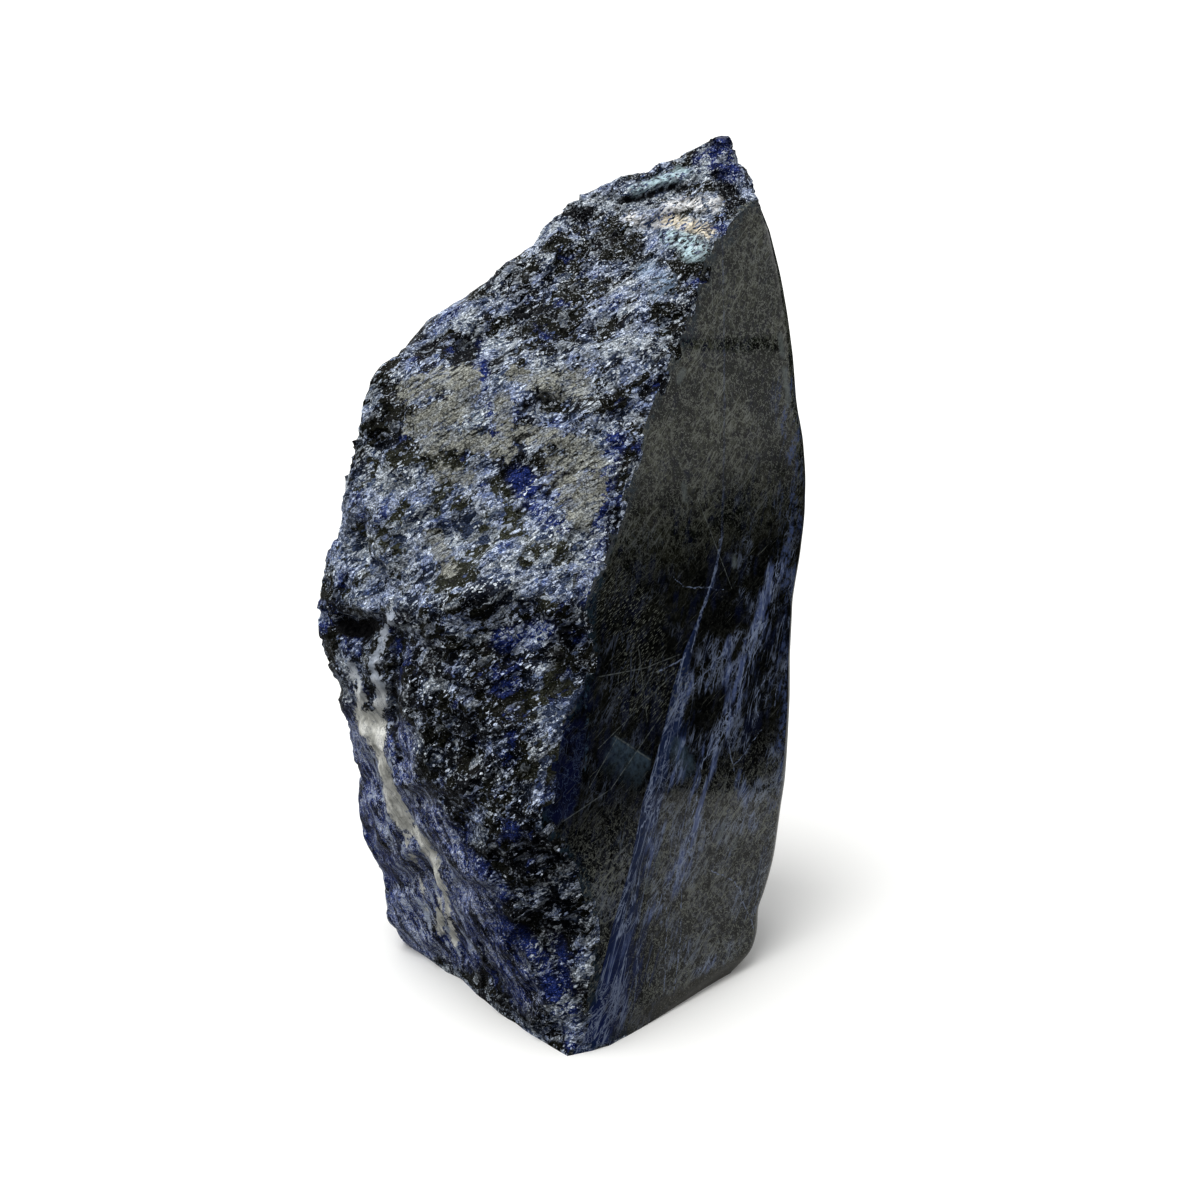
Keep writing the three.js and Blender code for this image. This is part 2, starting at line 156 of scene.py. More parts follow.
# Patches that split flat: their relief is flattened, and a sheen is painted into their colour.
FLAT_SPLITS_AND_SHEEN = [
    (2.9, [(-35.5, -3, 146.5), (-28.5, -3.1, 150), (-21.6, -5.6, 150.6), (-24, -8.5, 144.4), (-34, -8, 140)]),
    (2.3, [(-30.5, -11.7, 137), (-21.5, -12.9, 138.3), (-13.6, -14.1, 136.3), (-14, -8, 146)]),
    (1.8, [(-12, -5, 151.5), (-7.6, -6.1, 150.2), (3.1, -3.5, 150.4), (4.3, -5.9, 147.8),
           (-4.7, -7.4, 147.8)]),
    (1.9, [(-9.8, -12.1, 139), (-4.7, -12.9, 139.3), (5.4, -15.4, 137.3), (7.5, -17, 134), (-3, -16, 134)]),
    (2.5, [(-1.3, -18.9, 130.4), (7, -20, 130), (5.6, -22.7, 126.4), (0.5, -21.8, 127), (4, -25, 123.7)]),
    (1.8, [(-28.2, -14.7, 131.4), (-21.5, -15.9, 130.4)]),
    (2.0, [(-29.6, -19, 118), (-26, -25, 112)]),
]
BLUE = [
    (0.9, [(-19.4, 7.2, 154.6), (-18.9, -4, 151.5), (-18.4, -7, 147), (-17, -9.8, 143), (-15.6, -12, 140)]),
    (1.9, [(-10.3, -16.2, 131), (-6.9, -20, 126.6), (-4.6, -24, 123.3), (-1.2, -25.3, 122.6)]),
    (1.8, [(11, -13.7, 138.6), (8.8, -17.3, 134), (7.6, -22, 127.3), (6, -28.5, 115.5), (4.8, -33, 108)]),
    (2.4, [(-13.4, -34.3, 98.7), (-9, -33.5, 98.4), (-5.2, -35.4, 101)]),
    (2.0, [(-25.7, -34.2, 46.2), (-19.7, -41, 43.5), (-15.2, -42.2, 39)]),
    (2.6, [(-50, -5.5, 56), (-48.8, -5.7, 52.8), (-47.6, -7.7, 45.7)]),
    (1.8, [(-15.4, -39, 30.7), (-6, -44.6, 23.3), (-1.6, -46.6, 11.2)]),
    (1.6, [(-3, -47.5, 30), (0.5, -49, 14), (2, -50, 3)]),
    (3.0, [(-41, -4, 16), (-38, -6, 9)]),
    (2.6, [(33, 32, 192), (36, 34, 195), (38, 30, 190)]),
]
NAVY = [
    (4.4, [(0.6, -35.7, 98), (-0.1, -38.5, 91), (2, -41.7, 84)]),
    (3.2, [(-14, -37, 34), (-10, -41, 26), (-14, -36, 18)]),
    (4.0, [(-24, -18, 10), (-17, -30, 8), (-9, -38, 8)]),
    (3.4, [(-20.5, -31, 24), (-18, -30, 14), (-14.5, -34, 10)]),
    (3.2, [(-31.6, 4.9, 153.6), (-26.6, 6, 155.2), (-23, 5, 153.3)]),
    (3.4, [(-42.9, -3.5, 137.6), (-38.5, -8, 135.5)]),
    (2.6, [(-23.3, -19.1, 122.7), (-19.6, -22.7, 118.1)]),
    (2.4, [(-31.6, -23.5, 110), (-24, -29.2, 112)]),
    (5.0, [(-9, 2, 163), (-3, 1, 160)]),
    (2.4, [(7.6, 18.7, 175.1), (11.8, 19.1, 175.5), (15, 18.3, 175)]),
    (2.5, [(35.8, 36.8, 196.5), (36, 33, 189)]),
    (2.4, [(37.5, 24, 187), (40, 24, 181.5)]),
    (3.2, [(-50.5, -3, 50), (-47.5, -4.5, 36), (-44, -2, 22)]),
]
PALE = [
    (12.0, [(-47, -10, 118), (-30, -17, 124), (-14, -24, 120), (-2, -28, 118)]),
    (2.0, [(-51, -12, 99.4), (-38, -22, 103.5), (-18.8, -32.2, 112), (-5.5, -35, 111)]),
    (4.0, [(-2.3, -39.4, 89), (-1.2, -45.8, 80), (-4.4, -50.4, 72)]),
]
# The darker zones lie on the lower front, where it turns downward; fewer pale flecks there are partly painted
# shade.
DARK = [
    (14.0, [(-32.9, -30, 87), (-19, -40.6, 82), (-21.4, -42.2, 62)]),
    (9.0, [(-4, -44, 92), (-8, -46, 62), (-4, -48, 40), (-4, -46, 20), (-16, -34, 14)]),
]
FALLING = [
    (6.5, [(-41, -24, 68), (-39.8, -23.8, 60), (-35.5, -23.5, 52), (-29.4, -30, 44), (-22.6, -32, 34)]),
    (4.5, [(-22.6, -32, 34), (-16, -38, 22), (-10, -43, 12)]),
    (9.0, [(-51.3, -3, 60), (-48, -5, 39), (-44, -1.5, 20.6), (-39.3, -5.6, 8.8)]),
    (8.0, [(-34, -18, 36), (-28, -22, 14)]),
]
# Glints near the tip: painted highlights, laid on as white, gold, cyan and pale blue colour.
GLINT_WHITE = [
    (1.4, [(23.4, 24.6, 182.9), (27.6, 25.8, 183.3), (31.7, 23.3, 183.4), (34.4, 23.6, 183.8)]),
    (1.0, [(14.1, 24.1, 180.6), (16.9, 22.4, 179.6), (20.4, 22.5, 179.6)]),
]
GLINT_GOLD = [(1.5, [(22.5, 23.1, 179.7), (26.6, 21, 179.5), (30.7, 19.4, 179.2), (32.4, 16.7, 178.4)])]
GLINT_CYAN = [
    (1.5, [(16.4, 26.1, 185.8), (19.7, 27.3, 187.7), (23.4, 28.1, 188.9), (27.2, 29.4, 190)]),
    (2.0, [(23.8, 18.7, 177.2), (28.3, 16.1, 176.2), (30.9, 13.1, 175.8), (28.2, 12.1, 175.1)]),
]
GLINT_BLUE = [(1.8, [(18.6, 12.6, 170.8), (21.3, 9.8, 169.6), (23.1, 8.4, 168.4), (20.2, 7.7, 167.4)])]

# Marks of the ground face: distance across it and height.
# The blue band's left border, each point with the band's width there.
BAND = [(1, 0, 9), (3, 8, 12), (7, 19, 11.5), (12, 31, 7), (19, 44, 7), (24, 57, 7), (28.5, 64, 5.5),
        (31.5, 69.5, 6.5), (33.5, 73, 6), (36.8, 80, 6), (42, 88, 3), (48, 94.5, 1.2), (53.3, 101, 0.9),
        (58, 110, 0.8), (63, 133, 0.6), (68, 160, 0.5), (72, 184, 0.4)]
VEIL = [
    (2.6, [(64.7, 82.4), (62, 79), (57, 70.5), (49.5, 64), (45, 58)]),
    (2.4, [(45, 58), (41, 48), (38, 40), (34.4, 35), (29, 32), (25, 30)]),
    (2.6, [(75.6, 98.4), (72.7, 94.3), (68.8, 86.2), (64, 82.7)]),
    (1.0, [(40.5, 78), (45, 79), (49.5, 81.4), (53.3, 83.3), (57, 84.7), (61, 87)]),
    (0.8, [(40.3, 76.3), (46.4, 77.5), (52.5, 78), (57, 79)]),
    (1.8, [(37.2, 66), (36, 60)]),
    (1.4, [(56.6, 51.7), (59.7, 44), (61.2, 38.4)]),
    (1.6, [(25.8, 50), (24, 42)]),
    (1.7, [(15.3, 25.8), (11.8, 22.1)]),
    (1.8, [(10.8, 17.2), (11.4, 10.4)]),
    (1.5, [(7.7, 4.4), (14, 3.8)]),
    (1.2, [(44.8, 8.5), (40.3, 6.9)]),
]
RIM = [(4.5, [(87, 138), (88, 122), (84, 106), (80, 92)]), (2.5, [(76, 80), (73, 60), (70, 40)])]
CHATTER = [(7.0, [(22, 106), (30, 97), (26, 84), (37, 80)])]
# Two pale cleavage facets under the polish: the ends of the upper edge, and how far they reach below it.
KITES = [((17.3, 75.3), (28.0, 66.2), 9.0), ((37.2, 69.3), (42.5, 59.6), 6.0)]
KITE_BORDER = 0.4
TONGUE = [(5.0, [(5, 88), (3, 76), (-1, 66)])]
OLD_ARRIS = [(0.45, [(11.8, 104), (10.8, 90), (9, 78), (7.5, 70)])]
PALE_SPOTS = [
    (0.8, [(51, 42.7), (48.5, 39.7)]),
    (0.6, [(54.6, 36.9), (53.6, 35.3)]),
    (0.8, [(23.8, 37.8), (23.6, 35.3)]),
    (0.7, [(28.3, 42.5), (27.2, 39.7)]),
    (0.7, [(48.2, 125.7), (48.1, 122)]),
    (0.8, [(61.7, 105), (62, 103)]),
    (1.0, [(51, 148.9), (52.6, 150.4)]),
    (0.9, [(86.4, 152), (86.5, 147.5)]),
    (0.9, [(86.6, 144), (86.6, 136)]),
]
# Bright threads inside the stone: half the width and the corners of each.
THREADS = [
    (0.16, [(57.9, 110.3), (53.3, 100.8), (48.1, 94.5), (44.4, 87.1)]),
    (0.14, [(68.1, 73.3), (64, 69.6), (65.2, 64.1)]),
    (0.12, [(72.6, 71.9), (71, 66.1)]),
    (0.14, [(65.8, 61.4), (57.1, 56.6), (55.3, 56)]),
    (0.12, [(54, 60.8), (55.8, 52)]),
    (0.12, [(41.6, 105.6), (44.4, 102.6), (49.1, 101.3), (57.2, 98.5)]),
    (0.14, [(40.5, 78), (49.5, 81.4), (57, 84.7), (61, 87)]),
    (0.14, [(32.6, 85.7), (40.9, 86.3)]),
    (0.14, [(64, 80), (57.5, 69), (47, 61)]),
    (0.12, [(21.9, 34), (19.7, 26.5)]),
    (0.14, [(35, 32.4), (34, 18.3), (31.6, 4.4)]),
    (0.14, [(29.8, 28.5), (28.2, 6.5)]),
    (0.12, [(19.5, 21.4), (18.3, 8.6)]),
    (0.14, [(45.4, 32.1), (51.5, 27.8), (55, 24.1), (56.8, 18.7), (60.5, 10.1)]),
]
# Grinding marks, drawn about 0.2 mm wide so that they show: the real ones are finer.
HAIRLINES = [
    (0.12, [(14.7, 90), (29, 87.8), (40.3, 87.7)]),
    (0.12, [(27.7, 94.8), (28, 75.3)]),
    (0.12, [(-1, 61), (14.6, 63.5), (32.5, 75.4)]),
    (0.1, [(12, 74), (38, 84)]),
    (0.18, [(17.5, 75.2), (27.8, 66.2)]),
    (0.09, [(38, 28), (60, 66)]),
    (0.1, [(62, 133), (66, 172)]),
    (0.1, [(52, 122), (60, 98)]),
    (0.1, [(8, 66), (36, 90)]),
]

# ---------------------------------------------------------------- refraction, and patterns in millimetres

SODALITE_IOR = 1.48
# The broken sides, from clouds of tone down to specks. The stone's own splinters and specks are finer,
# and are drawn this coarse so that they show.
CLOUD_SIZE = 7.0
GRAIN_SIZE = 4.2
RIMMED_FLAKE_SIZE = 3.2
STREAK_SIZE = 2.2
SHARD_SIZE = 1.7
TEAR_SIZE = 1.3
SPLIT_STEP_SIZE = 0.7
SPLINTER_SIZE = 0.5
SPECK_SIZE = 0.3
# How far tears push the borders of grains, and those of shards and splinters.
GRAIN_TEAR = (0.9, 0.9, 0.9)
SPLINTER_TEAR = (0.3, 0.3, 0.3)
# Heights between which the vein's arms turn blue, and between which the painted sparkle near the tip gets
# more.
BLUE_ARMS = (70.0, 84.0)
TIP_SPARKS = (140.0, 170.0)
# The ground face: the ways that its streaks run, their sizes, and how many times longer than wide.
BAND_GRAIN = np.array([0.42 * FACE_ACROSS[0], 0.42 * FACE_ACROSS[1], 0.91])
CROSSING_GRAIN = np.array([0.78 * FACE_ACROSS[0], 0.78 * FACE_ACROSS[1], 0.62])
BAND_STREAK_SIZE, BAND_STREAK_STRETCH = 2.2, 5.0
FLOWING_SIZE, FLOWING_STRETCH = 2.4, 8.0
CROSSING_SIZE, CROSSING_STRETCH = 2.6, 7.0
TANGLE_SIZE = 3.0
FACE_CLOUD_SIZE = 12.0
MOTTLE_SIZE = 1.3
GRIT_SIZE = 0.45
GRINDING_WAVE = 7.0
# Heights between which the dust, partly a painted reflection of the light room and floor, sets in above and
# below, turns olive and lies along the foot, and how far across the face that last dust gives way to the bare
# corner.
DUST_AND_REFLECTION_ABOVE = (105.0, 135.0)
DUST_AND_REFLECTION_BELOW = (62.0, 45.0)
OLIVE_ABOVE = (70.0, 110.0)
DUSTY_FOOT = (9.0, 6.0)
OFF_CORNER = (8.0, 25.0)
# Heights between which the blue sets in, the band widens, and it deepens toward the foot.
BLUE_BELOW = (125.0, 95.0)
BAND_BELOW = (112.0, 98.0)
DEEP_BLUE_BELOW = (35.0, 8.0)
# Marks in a millimetre along and across their rows. Fine scratches are closer and finer on the stone, and
# are drawn this coarse so that they show.
CHATTER_TURN = math.radians(-24)
DASHES_PER_MM = (0.7, 4.2, 1.0)
SCRATCHES_PER_MM = (0.18, 3.2, 1.0)
SAW_LINES_PER_MM = (0.15, 2.0, 1.0)

# ---------------------------------------------------------------- camera, stage and light

CAMERA_TARGET = (7.65, -7.53, 97.5)
CAMERA_ELEVATION = math.radians(22)
CAMERA_DISTANCE = 560.0
CAMERA_LENS = 72.3
SENSOR_WIDTH = 36.0
FLOOR_SIZE = 40000.0
KEY_FROM = (-0.25, -0.15, 0.96)
KEY_SPREAD = math.radians(40)
KEY_POWER = 2.5
WORLD_STRENGTH = 0.85
ROOM_ABOVE = "#ffffff"
ROOM_BELOW = "#141414"
ROOM_EDGE = (-0.10, -0.06)
# The room is dimmer toward the front and the right: how dim, and between which directions it gets so.
FRONT_DIMMING = 0.25
FRONT_FADE = (-0.3, -1.0)
RIGHT_DIMMING = 0.5
RIGHT_FADE = (0.4, 0.95)
BOUNCE_SHEET = [(-500, -46), (221, -46), (173, 6), (173, 500), (-500, 500)]
SHEET_BELOW_FLOOR = -0.2
SHEET_FADE = (-46.0, -25.0)
# A dark rail of the room: its two ends in plan, and its lower and upper side at each.
RAIL_ENDS = [(185, -7), (146, 35)]
RAIL_HEIGHTS = [(157.5, 160.5), (144, 148.5)]

# ---------------------------------------------------------------- small tools


def smoothstep(value, low, high):
    """0 up to low, 1 from high on, and a soft rise between them."""
    share = np.clip((value - low) / (high - low), 0.0, 1.0)
    return share * share * (3 - 2 * share)


def unit(vector):
    """The same direction with a length of 1."""
    return vector / np.linalg.norm(vector)


def linear(colour):
    """The linear colour of an sRGB hex value."""
    channels = [int(colour[i:i + 2], 16) / 255 for i in (1, 3, 5)]
    return (*[c / 12.92 if c <= 0.04045 else ((c + 0.055) / 1.055) ** 2.4 for c in channels], 1.0)


SOFT = {"interpolation_type": "SMOOTHSTEP"}


def span(low, high):
    """The values from which and up to which a range is read; a falling range has the larger one first."""
    return {"From Min": low, "From Max": high}


def add_node(tree, kind, inputs=None, **settings):
    """Adds a node with its settings; each input is given by name or number and set, or linked to a node."""
    node = tree.nodes.new("ShaderNode" + kind)
    for setting, value in settings.items():
        setattr(node, setting, value)
    for key, value in (inputs or {}).items():
        by_name = isinstance(key, str)
        socket = next(s for s in node.inputs if s.enabled and s.name == key) if by_name else node.inputs[key]
        if isinstance(value, bpy.types.Node):
            value = next(s for s in value.outputs if s.enabled)
        if isinstance(value, bpy.types.NodeSocket):
            tree.links.new(value, socket)
        else:
            socket.default_value = value
    return node


# ---------------------------------------------------------------- the finished stone's shape


def welded(cad):
    """Corners in millimetres and triangles of a CAD solid, with shared corners joined."""
    mesh = cad.data
    mesh.calc_loop_triangles()
    corners = np.empty(len(mesh.vertices) * 3)
    mesh.vertices.foreach_get("co", corners)
    triangles = np.empty(len(mesh.loop_triangles) * 3, dtype=int)
    mesh.loop_triangles.foreach_get("vertices", triangles)
    points = corners.reshape(-1, 3) / MM
    _, first, joined = np.unique(points.round(3), axis=0, return_index=True, return_inverse=True)
    return points[first], joined.ravel()[triangles].reshape(-1, 3)


def edges_of(triangles):
    """Every edge once, and for each triangle the numbers of its three edges."""
    sides = np.sort(triangles[:, [0, 1, 1, 2, 2, 0]].reshape(-1, 2), axis=1)
    edges, numbers = np.unique(sides, axis=0, return_inverse=True)
    return edges, numbers.reshape(-1, 3)


def split(points, triangles):
    """Each triangle cut into four at the middles of its edges."""
    edges, numbers = edges_of(triangles)
    a, b, c = triangles.T
    ab, bc, ca = (numbers + len(points)).T
    parts = [(a, ab, ca), (ab, b, bc), (ca, bc, c), (ab, bc, ca)]
    return np.vstack([points, points[edges].mean(axis=1)]), np.vstack([np.stack(part, 1) for part in parts])


def neighbour_mean(values, edges):
    """The mean of each corner's neighbours, for one value or several per corner."""
    start, end = edges.T
    count = np.bincount(edges.ravel(), minlength=len(values))
    columns = [
        (np.bincount(start, column[end], len(values)) + np.bincount(end, column[start], len(values))) / count
        for column in values.reshape(len(values), -1).T
    ]
    return np.stack(columns, axis=1).reshape(values.shape)


def corner_normals(points, triangles):
    """The way that the surface faces at each corner, where larger triangles count for more."""
    a, b, c = points[triangles.T]
    facing = np.cross(b - a, c - a)
    total = np.zeros_like(points)
    for corner in triangles.T:
        for axis in range(3):
            total[:, axis] += np.bincount(corner, facing[:, axis], len(points))
    return total / np.linalg.norm(total, axis=1, keepdims=True)


def foot_inset(across, height):
    """How far the bevel and the worn corner take the ground face back at its foot."""
    bevel = BEVEL_SLOPE * np.maximum(0, BEVEL_HEIGHT * smoothstep(across, BEVEL_FROM, BEVEL_TO) - height)
    to_corner = 1 - smoothstep(across, -WEAR_ACROSS / 2, WEAR_ACROSS)
    return bevel + WEAR_DEPTH * to_corner * (1 - smoothstep(height, 0, WEAR_HEIGHT))


def lean(height):
    """How far the ground face has leaned back at a height."""
    return LEAN_RATE * (np.hypot(height, LEAN_START) - LEAN_START)


def face_place(points):
    """How far points lie across the ground face, and how far behind its surface."""
    from_start = points[:, :2] - FACE_START
    across, height = from_start @ FACE_ACROSS, points[:, 2]
    return across, -(from_start @ FACE_OUTWARD) - lean(height) - foot_inset(across, height)


def on_face(across, height):
    """A point of the ground face."""
    x, y = FACE_START + across * FACE_ACROSS - lean(height) * FACE_OUTWARD
    return x, y, height


def find_polish(points):
    """Which corners lie on the ground face, and which on its rounded right edge."""
    across, behind = face_place(points)
    height = points[:, 2]
    radius = np.minimum(EDGE_RADIUS, EDGE_RADIUS_AT_TOP + (FACE_TOP - height) * EDGE_RADIUS_GROWTH)
    right = across > MIDLINE_AT_BASE + MIDLINE_SLOPE * height
    below_top = height < FACE_TOP + FLAT_TOLERANCE
    flat = below_top & (behind < FLAT_TOLERANCE)
    rounded = below_top & right & (behind < radius * (1 - math.cos(EDGE_TURN)) + FLAT_TOLERANCE)
    return flat, rounded | (flat & right)


def chance(cell, purpose):
    """A repeatable number from -1 to 1 for each grid cell and purpose."""
    wave = np.sin(cell @ SCATTER + purpose * SCATTER_BY_PURPOSE) * SCATTER_HEIGHT
    return 2 * (wave - np.floor(wave)) - 1


def grain_axes(grain, stretch):
    """Three axes that shorten lengths along the grain, so that round cells come out long."""
    along = unit(grain)
    across = unit(np.cross((0, 0, 1), along))
    return np.stack([along / stretch, across, np.cross(along, across)])


def flakes(points, size, step, tilt):
    """How far the flake at each point stands out: its own step, and its slope away from its middle."""
    local = points @ grain_axes(RISING_GRAIN, GRAIN_STRETCH).T / size
    home = np.floor(local)
    nearest = np.full(len(points), np.inf)
    height = np.zeros(len(points))
    for shift in np.ndindex(3, 3, 3):
        cell = home + np.array(shift) - 1
        middle = cell + 0.5 + FLAKE_JITTER * np.stack([chance(cell, purpose) for purpose in (1, 2, 3)], 1)
        away = local - middle
        gap = np.linalg.norm(away, axis=1)
        slope = np.stack([chance(cell, purpose) for purpose in (5, 6, 7)], 1)
        own = step * chance(cell, 4) + 2 * tilt * size * (slope * away).sum(axis=1)
        height = np.where(gap < nearest, own, height)
        nearest = np.minimum(gap, nearest)
    return height


def inside(points, strokes, depth_share=1.0):
    """How many millimetres each point lies inside a mark's outline; less than zero is outside."""
    flattened = np.eye(3) - (1 - depth_share) * np.outer(FRONT, FRONT)
    most = np.full(len(points), -np.inf)
    for half_width, route in strokes:
        route = np.array(route) @ flattened
        for start, end in zip(route, route[1:]):
            run = end - start
            from_start = points @ flattened - start
            share = np.clip(from_start @ run / (run @ run), 0, 1)
            gap = np.linalg.norm(from_start - share[:, None] * run, axis=1)
            most = np.maximum(most, half_width - gap)
    return most


def past_arris(points, edges, ground):
    """How many millimetres each corner of the ground face lies past its broken border."""
    start, end = edges.T
    border = points[np.unique(np.where(ground[start], start, end)[ground[start] != ground[end]])]
    depth = np.zeros(len(points))
    for number in np.flatnonzero(ground):
        depth[number] = np.linalg.norm(border - points[number], axis=1).min()
    return depth


def finished_shape(cad):
    """The stone's corners and triangles, how far past the arris they lie, and what is polished or sawn."""
    points, triangles = welded(cad)
    for _ in range(SPLITS):
        points, triangles = split(points, triangles)
    edges, _ = edges_of(triangles)
    low, high = points.min(axis=0), points.max(axis=0)
    flat, rounded = find_polish(points)
    polished = flat | rounded
    arris = past_arris(points, edges, polished)
    on_base = points[:, 2] < BASE_TOLERANCE

    # The ground face is made truly flat, and its rounded edge smooth and full.
    _, behind = face_place(points)
    points[flat, :2] += behind[flat, None] * FACE_OUTWARD
    worn = rounded
    for _ in range(WORN_STEPS):
        worn = neighbour_mean(worn.astype(float), edges) > 0
    worn &= (rounded | ~polished) & ~on_base
    for turn in range(EDGE_SMOOTHING):
        moved = points + EDGE_PULLS[turn % 2] * (neighbour_mean(points, edges) - points)
        points[worn] = moved[worn]
    swell = EDGE_SWELL * smoothstep(behind, *SWELL_BEHIND) * worn
    points += swell[:, None] * corner_normals(points, triangles)
    # Chips along the arris belong to the broken sides, which are softened before their relief is added.
    chip_reach = CHIP_REACH * np.maximum(0, flakes(points, CHIP_SIZE, 1.0, 0.0))
    chipped = flat & ~rounded & (arris < chip_reach)
    points[chipped, :2] -= (CHIP_DEPTH * smoothstep(chip_reach - arris, 0, 1))[chipped, None] * FACE_OUTWARD
    polished &= ~chipped
    rough = ~polished & ~on_base
    for _ in range(BESIDE_EDGE_STEPS):
        worn |= neighbour_mean(worn.astype(float), edges) > 0
    for turn in range(BESIDE_EDGE_SOFTENING):
        softened = rough & worn if turn >= ROUGH_SOFTENING else rough
        points[softened] = (0.5 * points + 0.5 * neighbour_mean(points, edges))[softened]

    # The relief fades out toward the ground face and the base, and on the flat splits and the streaks.
    free = np.where(polished, 0.0, 1.0)
    for _ in range(FADE_STEPS):
        free = np.where(polished, 0.0, neighbour_mean(free, edges))
    free *= smoothstep(points[:, 2], 0, FADE_FROM_BASE)
    height = sum(flakes(points, **kind) for kind in FINE_FLAKES)
    height *= 1 - SPLIT_PATCH_FLATNESS * smoothstep(inside(points, FLAT_SPLITS_AND_SHEEN, DEPTH_SHARE), *SPLIT_PATCH_BORDER)
    height *= 1 - STREAK_FLATNESS * smoothstep(inside(points, FALLING, DEPTH_SHARE), *STREAK_BORDER)
    for rise, reach, middle in SHOULDERS:
        height += rise * smoothstep(reach - np.linalg.norm(points - middle, axis=1), 0, reach)
    height -= CRACK_DEPTH * smoothstep(inside(points, CRACKS, DEPTH_SHARE), *CRACK_BORDER)
    points = points + (free * height)[:, None] * corner_normals(points, triangles)
    points = np.clip(points, low, high)
    return points, triangles, arris, polished[triangles].all(axis=1), on_base[triangles].all(axis=1)


def paint_marks(mesh, points, arris):
    """Stores the marks on the mesh, each as the millimetres that a corner lies inside it."""
    marks = {
        name: inside(points, strokes, DEPTH_SHARE)
        for name, strokes in {
            "vein": VEIN, "flat_split_sheen": FLAT_SPLITS_AND_SHEEN, "blue": BLUE, "navy": NAVY, "pale": PALE, "dark": DARK,
            "falling": FALLING, "crack_and_shadow": CRACKS, "glint_white": GLINT_WHITE, "glint_gold": GLINT_GOLD,
            "glint_cyan": GLINT_CYAN, "glint_blue": GLINT_BLUE,
        }.items()
    }
    for name, strokes in {"veil": VEIL, "rim": RIM, "chatter": CHATTER, "tongue": TONGUE,
                          "old_arris": OLD_ARRIS, "pale_spots": PALE_SPOTS}.items():
        marks[name] = inside(points, [(width, [on_face(*at) for at in route]) for width, route in strokes])
    across, _ = face_place(points)
    border_across, border_height, width = np.array(BAND).T
    # How far right of the band's left border a corner lies, and what share of the band is left from there.
    marks["band"] = across - np.interp(points[:, 2], border_height, border_across)
    marks["band_left_over"] = 1 - marks["band"] / np.interp(points[:, 2], border_height, width)
    marks["arris"] = arris
    on_sheet = np.stack([across, points[:, 2]], 1)
    marks["kite"] = np.full(len(points), -np.inf)
    for start, end, reach in KITES:
        run = np.array(end) - start
        length = np.linalg.norm(run)
        gone = (on_sheet - start) @ run / length
        below = (on_sheet - start) @ (run[1], -run[0]) / length
        within = smoothstep(np.minimum(np.minimum(gone, length - gone), below), -KITE_BORDER, KITE_BORDER)
        marks["kite"] = np.maximum(marks["kite"], within * (1 - below / reach))
    for name, values in marks.items():
        mesh.attributes.new(name, "FLOAT", "POINT").data.foreach_set("value", values.astype(np.float32))


def make_stone(cad, broken, polished, sawn):
    """The finished stone, with a material for each way that its surface was made."""
    points, triangles, arris, is_polished, is_sawn = finished_shape(cad)
    mesh = bpy.data.meshes.new("sodalite")
    mesh.from_pydata((points * MM).tolist(), [], triangles.tolist())
    for material in (broken, polished, sawn):
        mesh.materials.append(material)
    mesh.polygons.foreach_set("material_index", np.select([is_sawn, is_polished], [2, 1], 0))
    mesh.polygons.foreach_set("use_smooth", np.ones(len(triangles), dtype=bool))
    mesh.set_sharp_from_angle(angle=SHARP_ANGLE)
    paint_marks(mesh, points, arris)
    stone = bpy.data.objects.new("sodalite", mesh)
    bpy.context.scene.collection.objects.link(stone)
    return stone


# ---------------------------------------------------------------- materials


def start_material(name):
    """A new material, its function for adding nodes, and the place on the stone in millimetres."""
    material = bpy.data.materials.new(name)
    material.use_nodes = True
    material.node_tree.nodes.clear()
    add = partial(add_node, material.node_tree)
    in_metres = add("TexCoord").outputs["Object"]
    return material, add, add("VectorMath", {0: in_metres, "Scale": 1 / MM}, operation="SCALE")


def in_grain(add, place, grain, stretch):
    """The place measured along and across a grain, shortened along it."""
    axes = [add("VectorMath", {0: place, 1: axis}, operation="DOT_PRODUCT").outputs["Value"]
            for axis in grain_axes(grain, stretch)]
    return add("CombineXYZ", dict(enumerate(axes)))


def joined(add, operation, shares):
    """Several shares taken together, one after another, by one operation."""
    return reduce(lambda total, share: add("Math", {0: total, 1: share}, operation=operation), shares)


def all_of(add, *shares):
    """The share where every one of several shares holds."""
    return joined(add, "MULTIPLY", shares)


def any_of(add, *shares):
    """The share where at least one of several shares holds."""
    return joined(add, "MAXIMUM", shares)


def beats(add, chance, draw, low, high):
    """1 where a chance is above what a cell drew, with a soft border from low to high."""
    ahead = add("Math", {0: chance, 1: draw}, operation="SUBTRACT")
    return add("MapRange", {"Value": ahead, **span(low, high)}, **SOFT)


def marked(add, name, noise, ragged, soft):
    """1 inside a mark and 0 outside, with an outline that the noise tears, in the mark's own measure."""
    mark = add("Attribute", attribute_name=name).outputs["Fac"]
    torn = add("Math", {0: noise, 1: ragged, 2: mark}, operation="MULTIPLY_ADD")
    middle = ragged / 2
    return add("MapRange", {"Value": torn, **span(middle - soft, middle + soft)}, **SOFT)


def coats(add, ground, *layers):
    """A ground colour with other colours laid over it one after another, each in its own share."""
    colour = linear(ground) if isinstance(ground, str) else ground
    for share, coat in layers:
        coat = linear(coat) if isinstance(coat, str) else coat
        colour = add("Mix", {"Factor": share, "A": colour, "B": coat}, data_type="RGBA")
    return colour


def threads_in(add, noise, half_width):
    """1 on the thin winding lines where a noise crosses its middle value, 0 off them."""
    off_middle = add("Math", {0: add("Math", {0: noise, 1: 0.5}, operation="SUBTRACT")}, operation="ABSOLUTE")
    return add("MapRange", {"Value": off_middle, **span(half_width, half_width * 0.2)})


